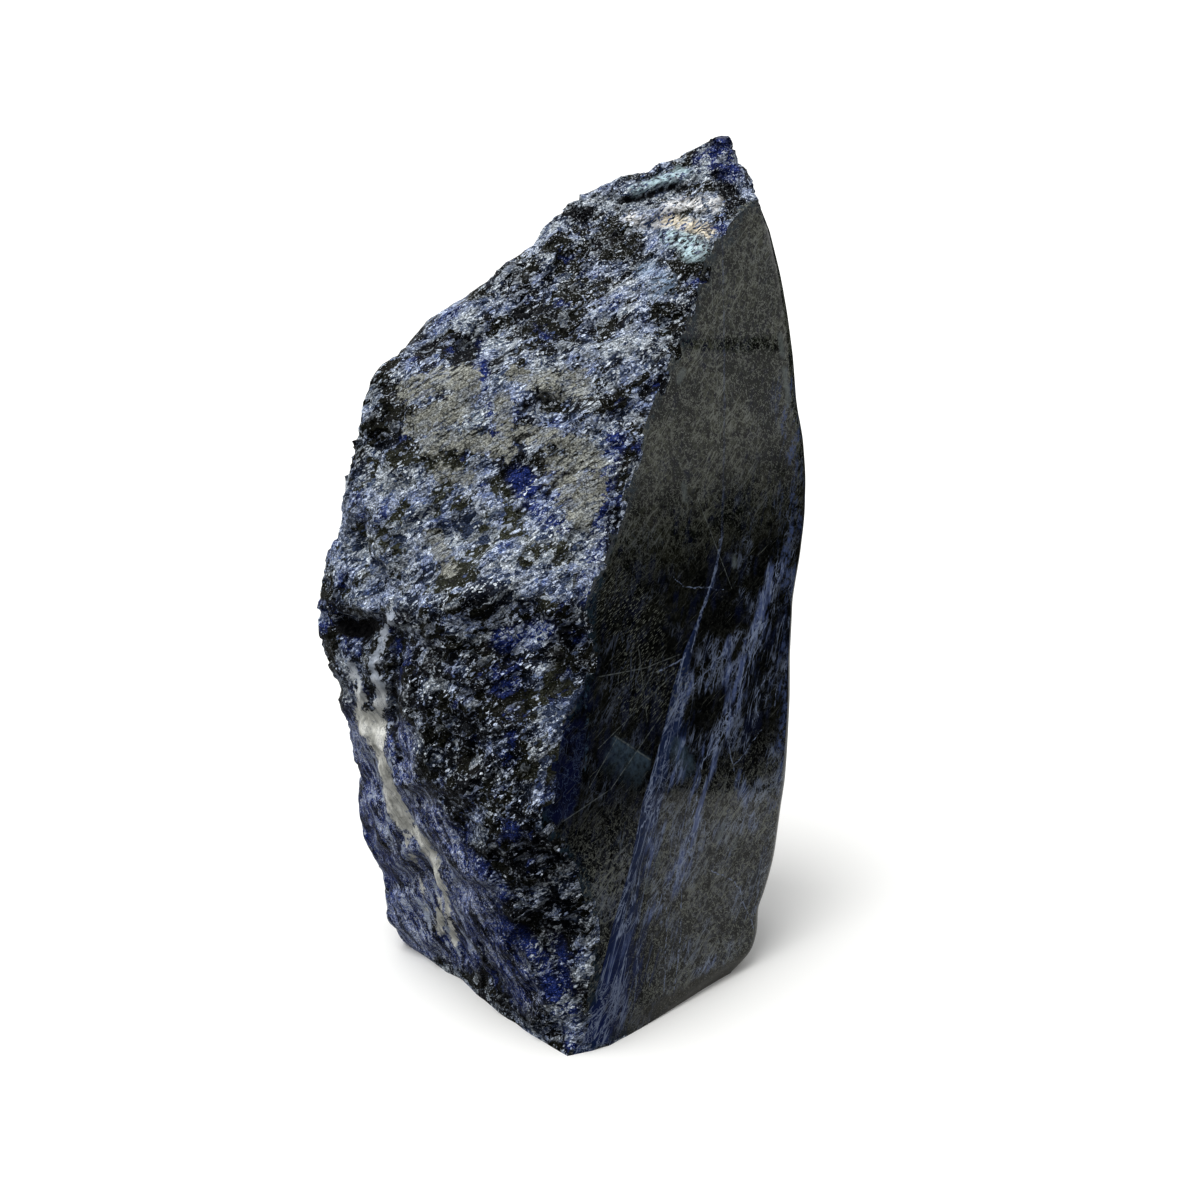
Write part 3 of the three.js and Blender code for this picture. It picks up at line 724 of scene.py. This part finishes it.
def fine_lines(add, sheet, lines):
    """1 on straight or bent hairlines, each half its width and its corners on the sheet, 0 off them."""
    shares = []
    for half_width, route in lines:
        for start, end in zip(route, route[1:]):
            run = np.array(end) - np.array(start)
            length = float(np.linalg.norm(run))
            direction = (*(run / length).tolist(), 0.0)
            from_start = add("VectorMath", {0: sheet, 1: (*start, 0.0)}, operation="SUBTRACT")
            gone = add("VectorMath", {0: from_start, 1: direction}, operation="DOT_PRODUCT").outputs["Value"]
            held = add("Clamp", {"Value": gone, "Min": 0.0, "Max": length})
            foot = add("VectorMath", {0: direction, "Scale": held}, operation="SCALE")
            gap = add("VectorMath", {0: from_start, 1: foot}, operation="DISTANCE").outputs["Value"]
            shares.append(add("MapRange", {"Value": gap, **span(half_width * 1.6, half_width * 0.4)}))
    return any_of(add, *shares)


def broken_sodalite():
    """Sodalite as it broke: dark grains between torn, bruised edges.

    Where they split flat a sheen is painted in as olive grey, and the bruised edges scatter pale blue-grey."""
    material, add, place = start_material("sodalite_broken")
    grain = in_grain(add, place, RISING_GRAIN, CLOUD_STRETCH)
    tear = add("TexNoise", {"Vector": grain, "Scale": 1 / TEAR_SIZE, "Detail": 3.0, "Roughness": 0.6})
    torn = add("VectorMath", {0: tear.outputs["Color"], 1: GRAIN_TEAR, 2: grain},
               operation="MULTIPLY_ADD")
    splintered = in_grain(add, place, RISING_GRAIN, SPLINTER_STRETCH)
    sharp = add("VectorMath", {0: tear.outputs["Color"], 1: SPLINTER_TEAR, 2: splintered},
                operation="MULTIPLY_ADD")
    clouds = add("TexNoise", {"Vector": torn, "Scale": 1 / CLOUD_SIZE, "Detail": 4.0, "Roughness": 0.65})
    cloud = add("SeparateColor", {0: clouds.outputs["Color"]})
    fine = add("TexNoise", {"Vector": grain, "Scale": 1 / SPECK_SIZE, "Detail": 1.0})
    # Streaks that fall to the right, beside the vein.
    falling = in_grain(add, place, FALLING_GRAIN, STREAK_STRETCH)
    streaks = add("TexNoise", {"Vector": falling, "Scale": 1 / STREAK_SIZE, "Detail": 4.0, "Roughness": 0.65})

    # How many bruised flecks there are: more on the ridges, fewer in the dark parts.
    in_pale = marked(add, "pale", clouds, ragged=12.0, soft=5.0)
    calmer = add("Mix", {"Factor": all_of(add, in_pale, 0.35), "A": cloud.outputs[0], "B": 0.5},
                 data_type="FLOAT")
    more = add("Math", {0: in_pale, 1: 0.045, 2: calmer}, operation="MULTIPLY_ADD")
    # Fewer flecks in the dark zones: partly painted shade on the lower front.
    fewer = add("Math", {0: marked(add, "dark", clouds, ragged=12.0, soft=5.0), 1: -0.09, 2: more},
                operation="MULTIPLY_ADD")
    in_dark = marked(add, "navy", clouds, ragged=6.0, soft=1.2)
    olive = add("MapRange", {"Value": cloud.outputs[1], **span(0.52, 0.55)}, **SOFT)
    spared = add("Math", {0: in_dark, 1: -0.21, 2: fewer}, operation="MULTIPLY_ADD")
    plenty = add("Math", {0: olive, 1: -0.07, 2: spared}, operation="MULTIPLY_ADD")

    # Under the flecks: navy black, slate, olive black, a purplish brown, and pools of fresh blue.
    slaty = add("MapRange", {"Value": plenty, **span(0.4, 0.6), "To Max": 0.85}, **SOFT)
    slate = any_of(add, slaty, all_of(add, in_pale, 0.55))
    brown = add("MapRange", {"Value": cloud.outputs[2], **span(0.58, 0.66), "To Max": 0.45}, **SOFT)
    drift = add("MapRange", {"Value": cloud.outputs[2], **span(0.42, 0.33), "To Max": 0.75}, **SOFT)
    in_fan = marked(add, "falling", tear, ragged=5.0, soft=2.0)
    pools = add("MapRange", {"Value": cloud.outputs[0], **span(0.38, 0.5)})
    in_blue = marked(add, "blue", cloud.outputs[1], ragged=7.0, soft=1.5)
    bluish = any_of(add, in_blue, drift, all_of(add, in_fan, pools))
    fresh = coats(add, "#091140", (fine, "#24387e"))
    olive_black = coats(add, "#0f1008", (in_pale, "#2e3025"))
    rock = coats(add, "#020409", (slate, "#3c4a68"), (olive, olive_black), (brown, "#1d1b22"),
                 (bluish, fresh))

    # Where it split flat a sheen is painted in as olive grey, with thin steps that rise to the right.
    steps = add("TexNoise", {"Vector": in_grain(add, place, RISING_GRAIN, SPLIT_STEP_STRETCH),
                             "Scale": 1 / SPLIT_STEP_SIZE, "Detail": 4.0, "Roughness": 0.65})
    flat_split_sheen = marked(add, "flat_split_sheen", tear, ragged=7.0, soft=0.5)
    even = add("MapRange", {"Value": cloud.outputs[1], **span(0.49, 0.57), "To Max": 0.8}, **SOFT)
    step_shade = add("MapRange", {"Value": steps, **span(0.41, 0.54)}, **SOFT)
    dull = add("MapRange", {"Value": cloud.outputs[0], **span(0.45, 0.58)})
    painted_sheen_tone = coats(add, "#8b8d86", (dull, "#7a7b73"))
    with_painted_sheen = coats(add, rock, (flat_split_sheen, coats(add, "#161714", (even, "#6a6b64"), (step_shade, painted_sheen_tone))))

    # The torn web between grains, painted highlights on the upper rims of flakes, chips, shards and specks.
    web_edge = add("TexVoronoi", {"Vector": torn, "Scale": 1 / GRAIN_SIZE}, feature="DISTANCE_TO_EDGE")
    web_reach = add("MapRange", {"Value": plenty, **span(0.39, 0.63), "To Min": -0.02, "To Max": 0.09})
    web = beats(add, web_reach, web_edge, -0.01, 0.02)
    split_off = add("TexVoronoi", {"Vector": torn, "Scale": 1 / RIMMED_FLAKE_SIZE})
    from_middle = add("VectorMath", {0: torn, 1: split_off.outputs["Position"]}, operation="SUBTRACT")
    # Painted highlight: the upper side of each flake is made paler, as if lit from above.
    rim_height = add("Math", {0: tear, 1: 1.6, 2: add("SeparateXYZ", {0: from_middle}).outputs["Z"]},
                     operation="MULTIPLY_ADD")
    rim = add("MapRange", {"Value": rim_height, **span(1.2, 2.1)}, **SOFT)
    rim_chance = add("MapRange", {"Value": plenty, **span(0.36, 0.62), "To Min": 0.1, "To Max": 0.9})
    drawn = add("SeparateColor", {0: split_off.outputs["Color"]})
    painted_lit_rims = all_of(add, rim, beats(add, rim_chance, drawn, -0.1, 0.1), 0.65)
    chips = add("TexVoronoi", {"Vector": sharp, "Scale": 1 / SPLINTER_SIZE})
    chip = add("SeparateColor", {0: chips.outputs["Color"]})
    shards = add("TexVoronoi", {"Vector": sharp, "Scale": 1 / SHARD_SIZE})
    shard = add("SeparateColor", {0: shards.outputs["Color"]})
    chip_chance = add("MapRange", {"Value": plenty, **span(0.36, 0.66), "To Min": 0.02, "To Max": 0.45})
    chosen_chips = beats(add, chip_chance, chip.outputs[0], -0.04, 0.04)
    shard_chance = add("Math", {0: chip_chance, 1: 0.5, 2: 0.02}, operation="MULTIPLY_ADD")
    chosen_shards = beats(add, shard_chance, shard.outputs[0], -0.03, 0.03)
    lace_edge = add("TexVoronoi", {"Vector": sharp, "Scale": 1 / SHARD_SIZE}, feature="DISTANCE_TO_EDGE")
    lace_line = add("MapRange", {"Value": lace_edge, **span(0.12, 0.04)})
    lace_share = add("MapRange", {"Value": plenty, **span(0.46, 0.56), "To Max": 0.8}, **SOFT)
    laced = add("MapRange", {"Value": tear.outputs["Color"], **span(0.4, 0.55)}, **SOFT)
    lace = all_of(add, lace_line, any_of(add, all_of(add, lace_share, laced), chosen_shards))
    fleck_share = add("MapRange", {"Value": plenty, **span(0.36, 0.5), "To Min": 0.25, "To Max": 0.6})
    specks = add("MapRange", {"Value": fine, **span(0.67, 0.72)}, **SOFT)
    # Pale seams that wind along the borders of the olive pools.
    off_pools = add("Math", {0: cloud.outputs[1], 1: 0.012}, operation="SUBTRACT")
    seams = all_of(add, threads_in(add, off_pools, 0.012), laced, 0.85)
    pale = any_of(add, all_of(add, specks, fleck_share), painted_lit_rims, web, lace, seams, chosen_chips,
                  all_of(add, chosen_shards, 0.6))

    # Beside the vein the flecks give way to falling streaks, and the flat patches with painted sheen have
    # few.
    strands = add("MapRange", {"Value": streaks, **span(0.54, 0.58), "To Max": 0.9}, **SOFT)
    streak = add("SeparateColor", {0: streaks.outputs["Color"]})
    hairs = [threads_in(add, streak.outputs[number], 0.014) for number in (1, 2)]
    streaky = any_of(add, all_of(add, pale, 0.45), strands, *hairs)
    gaps = add("MapRange", {"Value": streaks, **span(0.46, 0.42), "To Max": 0.8})
    less_in_dark = add("Math", {0: in_dark, 1: -0.35, 2: 1.0}, operation="MULTIPLY_ADD")
    # The bruised share also holds the painted highlights on the flakes' upper rims.
    bruised = add("Mix", {"Factor": in_fan, "A": pale, "B": all_of(add, streaky, less_in_dark)},
                  data_type="FLOAT")
    off_flat_split_sheen = add("Math", {0: flat_split_sheen, 1: -0.7, 2: 1.0}, operation="MULTIPLY_ADD")
    rougher_rock = add("Math", {0: flat_split_sheen, 1: -0.45, 2: 1.0}, operation="MULTIPLY_ADD")
    fibres = add("Mix", {"Factor": 0.5, "A": streaks, "B": tear}, data_type="FLOAT")
    in_vein = marked(add, "vein", fibres, ragged=7.0, soft=0.3)
    near_vein = add("MapRange", {"Value": add("Attribute", attribute_name="vein").outputs["Fac"],
                                 **span(-7.0, -1.0)})
    beside_vein = all_of(add, near_vein, in_fan, strands)
    smooth_here = any_of(add, in_vein, all_of(add, in_fan, 0.6))
    relief_share = add("Math", {0: smooth_here, 1: -0.7, 2: rougher_rock}, operation="MULTIPLY_ADD")

    # Each chip has its own light, and the bruises and painted lit rims are grey in some clouds and bluer in
    # others.
    dull_bruise = coats(add, "#4e5961", (chip.outputs[1], "#dde5ea"))
    blue_bruise = coats(add, "#3c4f80", (chip.outputs[1], "#c8d5ee"))
    bluer = add("MapRange", {"Value": cloud.outputs[2], **span(0.4, 0.56), "To Min": 1.0, "To Max": 0.15})
    bruise = coats(add, dull_bruise, (bluer, blue_bruise))
    fan_bruise = coats(add, "#5f73b0", (chip.outputs[1], "#dde5f4"))
    height = add("SeparateXYZ", {0: place}).outputs["Z"]
    # Sparks: pale specks all over, partly painted sparkle that grows toward the tip.
    toward_tip = add("MapRange", {"Value": height, **span(*TIP_SPARKS), "To Max": 0.08})
    sparks = add("MapRange", {"Value": add("Math", {0: fine, 1: toward_tip}, operation="ADD"),
                              **span(0.71, 0.74)}, **SOFT)
    fissure = add("MapRange", {"Value": web_edge, **span(0.02, 0.008), "To Max": 0.85})
    open_here = add("MapRange", {"Value": cloud.outputs[1], **span(0.46, 0.54)})
    with_bruises = coats(
        add, with_painted_sheen,
        (all_of(add, bruised, off_flat_split_sheen), coats(add, bruise, (in_fan, fan_bruise))),
        (all_of(add, fissure, open_here), "#050609"),
        (all_of(add, in_fan, gaps), "#05070f"),
        (all_of(add, sparks, off_flat_split_sheen, fleck_share), "#cdd3d8"))

    # The vein, painted glints near the tip, striped along its steps, and the open cracks with their shadow
    # painted near black.
    glitter = add("MapRange", {"Value": fine, **span(0.33, 0.67), "To Min": 0.3, "To Max": 1.7})
    glittering = add("VectorMath", {0: with_bruises, "Scale": glitter}, operation="SCALE")
    vein_light = add("MapRange", {"Value": streak.outputs[2], **span(0.38, 0.6)})
    up_the_arms = add("MapRange", {"Value": height, **span(*BLUE_ARMS), "To Max": 0.6})
    cream = coats(add, "#b0b1aa", (vein_light, "#eff0ea"), (up_the_arms, "#93a4c2"))
    veinlet = all_of(add, in_vein, threads_in(add, streaks, 0.014), 0.7)
    # The glints are painted highlights, striped along the split steps and broken up where the chips shine.
    stripes = add("MapRange", {"Value": steps, **span(0.38, 0.5)}, **SOFT)
    shining = add("MapRange", {"Value": chip.outputs[1], **span(0.2, 0.5)})
    gleam = all_of(add, stripes, shining)
    colour = coats(
        add, glittering, (beside_vein, "#a9b4c6"), (in_vein, cream), (veinlet, "#4c566a"),
        (all_of(add, marked(add, "glint_blue", tear, ragged=3.5, soft=2.0), gleam, 0.7), "#8fa8c8"),
        (all_of(add, marked(add, "glint_cyan", tear, ragged=3.5, soft=1.3), gleam), "#c6e2ea"),
        (all_of(add, marked(add, "glint_gold", tear, ragged=3.5, soft=1.3), gleam), "#f4e9d2"),
        (all_of(add, marked(add, "glint_white", tear, ragged=3.5, soft=1.3), gleam), "#ffffff"),
        # Painted shadow: the cracks and the undercut below the tip's ledge are coloured near black.
        (marked(add, "crack_and_shadow", tear, ragged=3.0, soft=0.5), "#030408"))

    # Flat little cleavage faces: each fleck is a plane with a slope of its own.
    away = add("VectorMath", {0: sharp, 1: chips.outputs["Position"]}, operation="SUBTRACT")
    slope = add("VectorMath", {0: chips.outputs["Color"], 1: (0.5, 0.5, 0.5)}, operation="SUBTRACT")
    plane = add("VectorMath", {0: away, 1: slope}, operation="DOT_PRODUCT").outputs["Value"]
    faceted = add("Math", {0: fine, 1: 0.2, 2: all_of(add, plane, 1.1)}, operation="MULTIPLY_ADD")
    relief = add("Math", {0: tear, 1: 0.8, 2: faceted}, operation="MULTIPLY_ADD")
    bump = add("Bump", {"Height": relief, "Distance": MM, "Strength": relief_share})

    # Bruises and dust in the break take most of its gloss away.
    rougher = add("Math", {0: bruised, 1: 0.2, 2: 0.38}, operation="MULTIPLY_ADD")
    shader = add("BsdfPrincipled", {"Base Color": colour, "Roughness": rougher, "IOR": SODALITE_IOR,
                                    "Specular IOR Level": 0.08, "Normal": bump})
    add("OutputMaterial", {"Surface": shader})
    return material


def polished_sodalite():
    """Sodalite ground flat and polished: near black and glassy, with blue streaks and fine scratches."""
    material, add, place = start_material("sodalite_polished")
    streaks = add("TexNoise", {"Vector": in_grain(add, place, BAND_GRAIN, BAND_STREAK_STRETCH),
                               "Scale": 1 / BAND_STREAK_SIZE, "Detail": 5.0, "Roughness": 0.62})
    flowing = add("TexNoise", {"Vector": in_grain(add, place, BAND_GRAIN, FLOWING_STRETCH),
                               "Scale": 1 / FLOWING_SIZE, "Detail": 3.0, "Roughness": 0.6,
                               "Distortion": 0.5})
    crossing = add("TexNoise", {"Vector": in_grain(add, place, CROSSING_GRAIN, CROSSING_STRETCH),
                                "Scale": 1 / CROSSING_SIZE, "Detail": 3.0, "Roughness": 0.6,
                                "Distortion": 0.5})
    tangled = add("TexNoise", {"Vector": place, "Scale": 1 / TANGLE_SIZE, "Detail": 5.0, "Roughness": 0.6})
    clouds = add("TexNoise", {"Vector": place, "Scale": 1 / FACE_CLOUD_SIZE, "Detail": 6.0,
                              "Roughness": 0.65})
    cloud = add("SeparateColor", {0: clouds.outputs["Color"]})
    mottle = add("TexNoise", {"Vector": place, "Scale": 1 / MOTTLE_SIZE, "Detail": 5.0, "Roughness": 0.75})
    across = add("VectorMath", {0: place, 1: (*FACE_ACROSS, 0.0)}, operation="DOT_PRODUCT").outputs["Value"]
    across_here = add("Math", {0: across, 1: float(FACE_START @ FACE_ACROSS)}, operation="SUBTRACT")
    height = add("SeparateXYZ", {0: place}).outputs["Z"]
    on_sheet = add("CombineXYZ", {0: across_here, 1: height})
    patchy = add("MapRange", {"Value": cloud.outputs[2], **span(0.47, 0.6)}, **SOFT)
    elsewhere = add("MapRange", {"Value": cloud.outputs[0], **span(0.42, 0.56)}, **SOFT)
    flow = threads_in(add, flowing, 0.024)
    cross = all_of(add, threads_in(add, crossing, 0.022), elsewhere)
    tangle = all_of(add, threads_in(add, tangled, 0.018), elsewhere)
    threads = any_of(add, flow, cross, tangle)

    # The body: black, with olive dust that is thickest above, and clouds of navy. The dust above and below is
    # partly a painted reflection: paler where the polish mirrors the light room above and the floor below.
    high = add("MapRange", {"Value": height, **span(*DUST_AND_REFLECTION_ABOVE), "To Min": 0.06, "To Max": 0.92})
    low = add("MapRange", {"Value": height, **span(*DUST_AND_REFLECTION_BELOW), "To Max": 0.9})
    dusty = add("MapRange", {"Value": mottle, **span(0.43, 0.58)}, **SOFT)
    dust_and_reflection_zone = add("Math", {0: high, 1: low}, operation="ADD")
    olive = add("MapRange", {"Value": cloud.outputs[0], **span(0.46, 0.6), "To Max": 0.8}, **SOFT)
    navy = add("MapRange", {"Value": add("Math", {0: cloud.outputs[1], 1: streaks}, operation="ADD"),
                            **span(1.0, 1.2)}, **SOFT)
    upper = add("MapRange", {"Value": height, **span(*OLIVE_ABOVE)})
    grey_dust_and_reflection = coats(add, "#242627", (elsewhere, "#5c6068"))
    dust_and_reflection_tone = coats(add, grey_dust_and_reflection, (upper, coats(add, "#1e2418", (elsewhere, "#4e5144"))))
    grit = add("TexNoise", {"Vector": place, "Scale": 1 / GRIT_SIZE, "Detail": 2.0})
    gritty = add("MapRange", {"Value": grit, **span(0.56, 0.7), "To Max": 0.8}, **SOFT)
    scuffs = any_of(add, cross, threads_in(add, tangled, 0.02))
    body = coats(
        add, "#020303", (olive, "#0e0f08"), (navy, "#0a1025"),
        (all_of(add, dust_and_reflection_zone, dusty), dust_and_reflection_tone),
        (all_of(add, dust_and_reflection_zone, gritty), "#888b86"),
        (all_of(add, dust_and_reflection_zone, scuffs, 0.8), "#8b8f86"))

    # Steel-blue streaks right of the band's border, thickest beside it, and pale threads in them.
    past_border = add("Attribute", attribute_name="band").outputs["Fac"]
    right_of_border = add("MapRange", {"Value": past_border, **span(-0.2, 0.3)}, **SOFT)
    whole_band = all_of(add, right_of_border, marked(add, "band_left_over", streaks, ragged=3.6, soft=0.5))
    mid_face = add("MapRange", {"Value": height, **span(*BLUE_BELOW), "To Min": 0.1})
    veil = marked(add, "veil", streaks, ragged=6.0, soft=1.5)
    narrow = add("MapRange", {"Value": height, **span(*BAND_BELOW), "To Min": 0.3})
    bundles = add("MapRange", {"Value": streaks, **span(0.46, 0.62)}, **SOFT)
    streaked = all_of(add, right_of_border, bundles, mid_face, patchy)
    in_band = all_of(add, whole_band, narrow)
    band_blue = coats(add, "#0e1730", (streaks, "#2c3c66"))
    threaded = any_of(add, in_band, veil, all_of(add, right_of_border, mid_face, patchy, 0.55),
                      all_of(add, mid_face, patchy, 0.2))
    toward_foot = add("MapRange", {"Value": height, **span(*DEEP_BLUE_BELOW), "To Max": 0.4})
    deep_blue = all_of(add, in_band, toward_foot)
    wavy = add("VectorMath", {0: tangled.outputs["Color"], 1: (1.6, 1.6, 0.0), 2: on_sheet},
               operation="MULTIPLY_ADD")
    centred = add("VectorMath", {0: wavy, 1: (0.8, 0.8, 0.0)}, operation="SUBTRACT")
    bright = all_of(add, fine_lines(add, centred, THREADS), dusty)
    with_blue = coats(
        add, body, (all_of(add, streaked, 0.55), "#1b243a"), (in_band, band_blue), (deep_blue, "#18266a"),
        (all_of(add, veil, bundles), "#5a6996"), (all_of(add, threaded, threads), "#95a3c2"),
        (bright, "#8d9bbb"))

    # Borders: greenish blue where the stone thins to the arris, slate blue on the rounded edge.
    past_edge = add("Attribute", attribute_name="arris").outputs["Fac"]
    thin_edge = add("Math", {0: cloud.outputs[2], 1: -9.0, 2: past_edge}, operation="MULTIPLY_ADD")
    at_arris = add("MapRange", {"Value": thin_edge, **span(-0.5, -3.0), "To Max": 0.9}, **SOFT)
    rim_share = all_of(add, marked(add, "rim", streaks, ragged=9.0, soft=3.0), bundles, dusty)
    in_tongue = marked(add, "tongue", tangled, ragged=4.0, soft=1.2)
    ragged_height = add("Math", {0: mottle, 1: 4.0, 2: height}, operation="MULTIPLY_ADD")
    at_foot = add("MapRange", {"Value": ragged_height, **span(*DUSTY_FOOT), "To Max": 0.8}, **SOFT)
    off_corner = add("MapRange", {"Value": across_here, **span(*OFF_CORNER)})
    with_borders = coats(
        add, with_blue, (all_of(add, at_arris, dusty), "#1d2f3c"), (rim_share, "#4c5b84"),
        (all_of(add, at_foot, off_corner), coats(add, "#3a3934", (gritty, "#77756b"))),
        (all_of(add, in_tongue, elsewhere, 0.8), "#0a1238"),
        (all_of(add, in_tongue, tangle, 0.6), "#4f6080"),
        (all_of(add, marked(add, "old_arris", tangled, ragged=1.2, soft=0.3), dusty), "#3d5266"))

    kite_light = add("MapRange", {"Value": add("Attribute", attribute_name="kite").outputs["Fac"]})
    kite_haze = add("MapRange", {"Value": mottle, **span(0.35, 0.65), "To Min": 0.15})
    spots = marked(add, "pale_spots", mottle, ragged=1.6, soft=0.6)
    with_marks = coats(add, with_borders, (all_of(add, kite_light, kite_haze), "#4d6172"),
                       (all_of(add, spots, 0.6), "#6d7676"))

    # Grinding marks: hairlines at known places, rows of chatter dashes, and a haze of fine scratches.
    mottled = add("MapRange", {"Value": mottle, **span(0.35, 0.6)})
    scratches = all_of(add, fine_lines(add, on_sheet, HAIRLINES), mottled)
    rows = add("Mapping", {"Vector": on_sheet, "Rotation": (0, 0, CHATTER_TURN)})
    short = add("VectorMath", {0: rows, 1: DASHES_PER_MM}, operation="MULTIPLY")
    dashes = add("TexNoise", {"Vector": short, "Scale": 1.0, "Detail": 1.0})
    dash = add("MapRange", {"Value": dashes, **span(0.6, 0.66)}, **SOFT)
    chatter = all_of(add, marked(add, "chatter", streaks, ragged=6.0, soft=3.0), dash)
    long = add("VectorMath", {0: rows, 1: SCRATCHES_PER_MM}, operation="MULTIPLY")
    hairs = add("TexNoise", {"Vector": long, "Scale": 1.0, "Detail": 3.0, "Roughness": 0.7,
                             "Distortion": 0.8})
    hair = add("MapRange", {"Value": hairs, **span(0.6, 0.68), "To Max": 0.4}, **SOFT)
    drawn = any_of(add, scratches, chatter, hair)
    colour = coats(
        add, with_marks, (all_of(add, hair, 0.7), "#7d8178"),
        (all_of(add, chatter, 0.65), "#8b9084"), (all_of(add, scratches, 0.6), "#858c8a"))

    roughness = add("Math", {0: drawn, 1: 0.15, 2: 0.06}, operation="MULTIPLY_ADD")
    wave = add("TexNoise", {"Vector": place, "Scale": 1 / GRINDING_WAVE, "Detail": 2.0})
    bump = add("Bump", {"Height": wave, "Distance": MM, "Strength": 0.05})
    shader = add("BsdfPrincipled", {"Base Color": colour, "Roughness": roughness, "IOR": SODALITE_IOR,
                                    "Normal": bump})
    add("OutputMaterial", {"Surface": shader})
    return material


def sawn_sodalite():
    """Sodalite cut by a diamond saw: a flat, dull blue-grey with faint straight saw lines."""
    material, add, place = start_material("sodalite_sawn")
    lines = add("VectorMath", {0: place, 1: SAW_LINES_PER_MM}, operation="MULTIPLY")
    saw = add("TexNoise", {"Vector": lines, "Scale": 1.0, "Detail": 2.0})
    clouds = add("TexNoise", {"Vector": place, "Scale": 1 / FACE_CLOUD_SIZE, "Detail": 4.0})
    bluer = add("MapRange", {"Value": clouds, **span(0.4, 0.6)}, **SOFT)
    sawn_line = add("MapRange", {"Value": saw, **span(0.5, 0.75)}, **SOFT)
    colour = coats(add, "#23283a", (bluer, "#3c4256"), (sawn_line, "#6a7080"))
    bump = add("Bump", {"Height": saw, "Distance": MM, "Strength": 0.1})
    shader = add("BsdfPrincipled", {"Base Color": colour, "Roughness": 0.6, "IOR": SODALITE_IOR,
                                    "Normal": bump})
    add("OutputMaterial", {"Surface": shader})
    return material


def plain_material(name, colour, roughness):
    """A material of one colour, for the stage."""
    material, add, _ = start_material(name)
    shader = add("BsdfPrincipled", {"Base Color": linear(colour), "Roughness": roughness})
    add("OutputMaterial", {"Surface": shader})
    return material


def fading_card():
    """Grey card that darkens toward its front border, so that the polish mirrors no hard edge of it."""
    material, add, place = start_material("grey_card_matte")
    depth = add("SeparateXYZ", {0: place}).outputs["Y"]
    light = add("MapRange", {"Value": depth, **span(*SHEET_FADE)}, **SOFT)
    card = coats(add, "#141414", (light, "#c4c4c0"))
    shader = add("BsdfPrincipled", {"Base Color": card, "Roughness": 0.9})
    add("OutputMaterial", {"Surface": shader})
    return material


# ---------------------------------------------------------------- stage, light and camera


def make_sheet(name, corners, material):
    """A flat stage piece with the given corners in millimetres."""
    mesh = bpy.data.meshes.new(name)
    mesh.from_pydata([tuple(value * MM for value in corner) for corner in corners], [],
                     [tuple(range(len(corners)))])
    mesh.materials.append(material)
    sheet = bpy.data.objects.new(name, mesh)
    bpy.context.scene.collection.objects.link(sheet)
    return sheet


def make_stage():
    """A white floor. What the stone mirrors is a smaller white sheet, with a dark room round it."""
    half = FLOOR_SIZE / 2
    paper = plain_material("white_paper_matte", "#f6f6f4", 0.9)
    corners = [(-half, -half, 0), (half, -half, 0), (half, half, 0), (-half, half, 0)]
    floor = make_sheet("floor", corners, paper)
    floor.visible_diffuse = False
    floor.visible_glossy = False
    below = [(*corner, SHEET_BELOW_FLOOR) for corner in BOUNCE_SHEET]
    sheet = make_sheet("bounce_sheet", below, fading_card())
    sheet.visible_camera = False
    sheet.visible_shadow = False
    (start, end), (low, high) = RAIL_ENDS, zip(*RAIL_HEIGHTS)
    felt = plain_material("black_felt", "#020202", 1.0)
    rail = make_sheet("rail", [(*start, low[0]), (*end, low[1]), (*end, high[1]), (*start, high[0])], felt)
    rail.visible_camera = False
    rail.visible_diffuse = False
    rail.visible_shadow = False


def make_light():
    """A broad soft light from above the left, in a room that is white above and dark below."""
    key = bpy.data.lights.new("key", "SUN")
    key.angle = KEY_SPREAD
    key.energy = KEY_POWER
    lamp = bpy.data.objects.new("key", key)
    lamp.rotation_euler = Vector(KEY_FROM).to_track_quat("Z", "Y").to_euler()
    bpy.context.scene.collection.objects.link(lamp)
    world = bpy.data.worlds.new("room")
    world.use_nodes = True
    world.node_tree.nodes.clear()
    add = partial(add_node, world.node_tree)
    toward = add("SeparateXYZ", {0: add("TexCoord").outputs["Generated"]})
    above = add("MapRange", {"Value": toward.outputs["Z"], **span(*ROOM_EDGE)}, **SOFT)
    front = add("MapRange", {"Value": toward.outputs["Y"], **span(*FRONT_FADE),
                             "To Min": 1.0, "To Max": FRONT_DIMMING}, **SOFT)
    right = add("MapRange", {"Value": toward.outputs["X"], **span(*RIGHT_FADE),
                             "To Min": 1.0, "To Max": RIGHT_DIMMING}, **SOFT)
    shade = coats(add, ROOM_BELOW, (all_of(add, above, front, right), ROOM_ABOVE))
    add("OutputWorld", {"Surface": add("Background", {"Color": shade, "Strength": WORLD_STRENGTH})})
    bpy.context.scene.world = world


def make_camera():
    """Looks along +Y from above, as the stone is seen on a table."""
    lens = bpy.data.cameras.new("camera")
    lens.lens = CAMERA_LENS
    lens.sensor_width = SENSOR_WIDTH
    camera = bpy.data.objects.new("camera", lens)
    x, y, z = CAMERA_TARGET
    back, up = math.cos(CAMERA_ELEVATION), math.sin(CAMERA_ELEVATION)
    camera.location = (x * MM, (y - CAMERA_DISTANCE * back) * MM, (z + CAMERA_DISTANCE * up) * MM)
    camera.rotation_euler = (math.pi / 2 - CAMERA_ELEVATION, 0, 0)
    bpy.context.scene.collection.objects.link(camera)
    bpy.context.scene.camera = camera


# ---------------------------------------------------------------- the scene

bpy.context.scene.view_settings.view_transform = "Standard"
make_stage()
make_light()
make_camera()

sodalite = make_stone(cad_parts["stone"], broken_sodalite(), polished_sodalite(), sawn_sodalite())
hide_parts("stone")
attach(sodalite, "root")
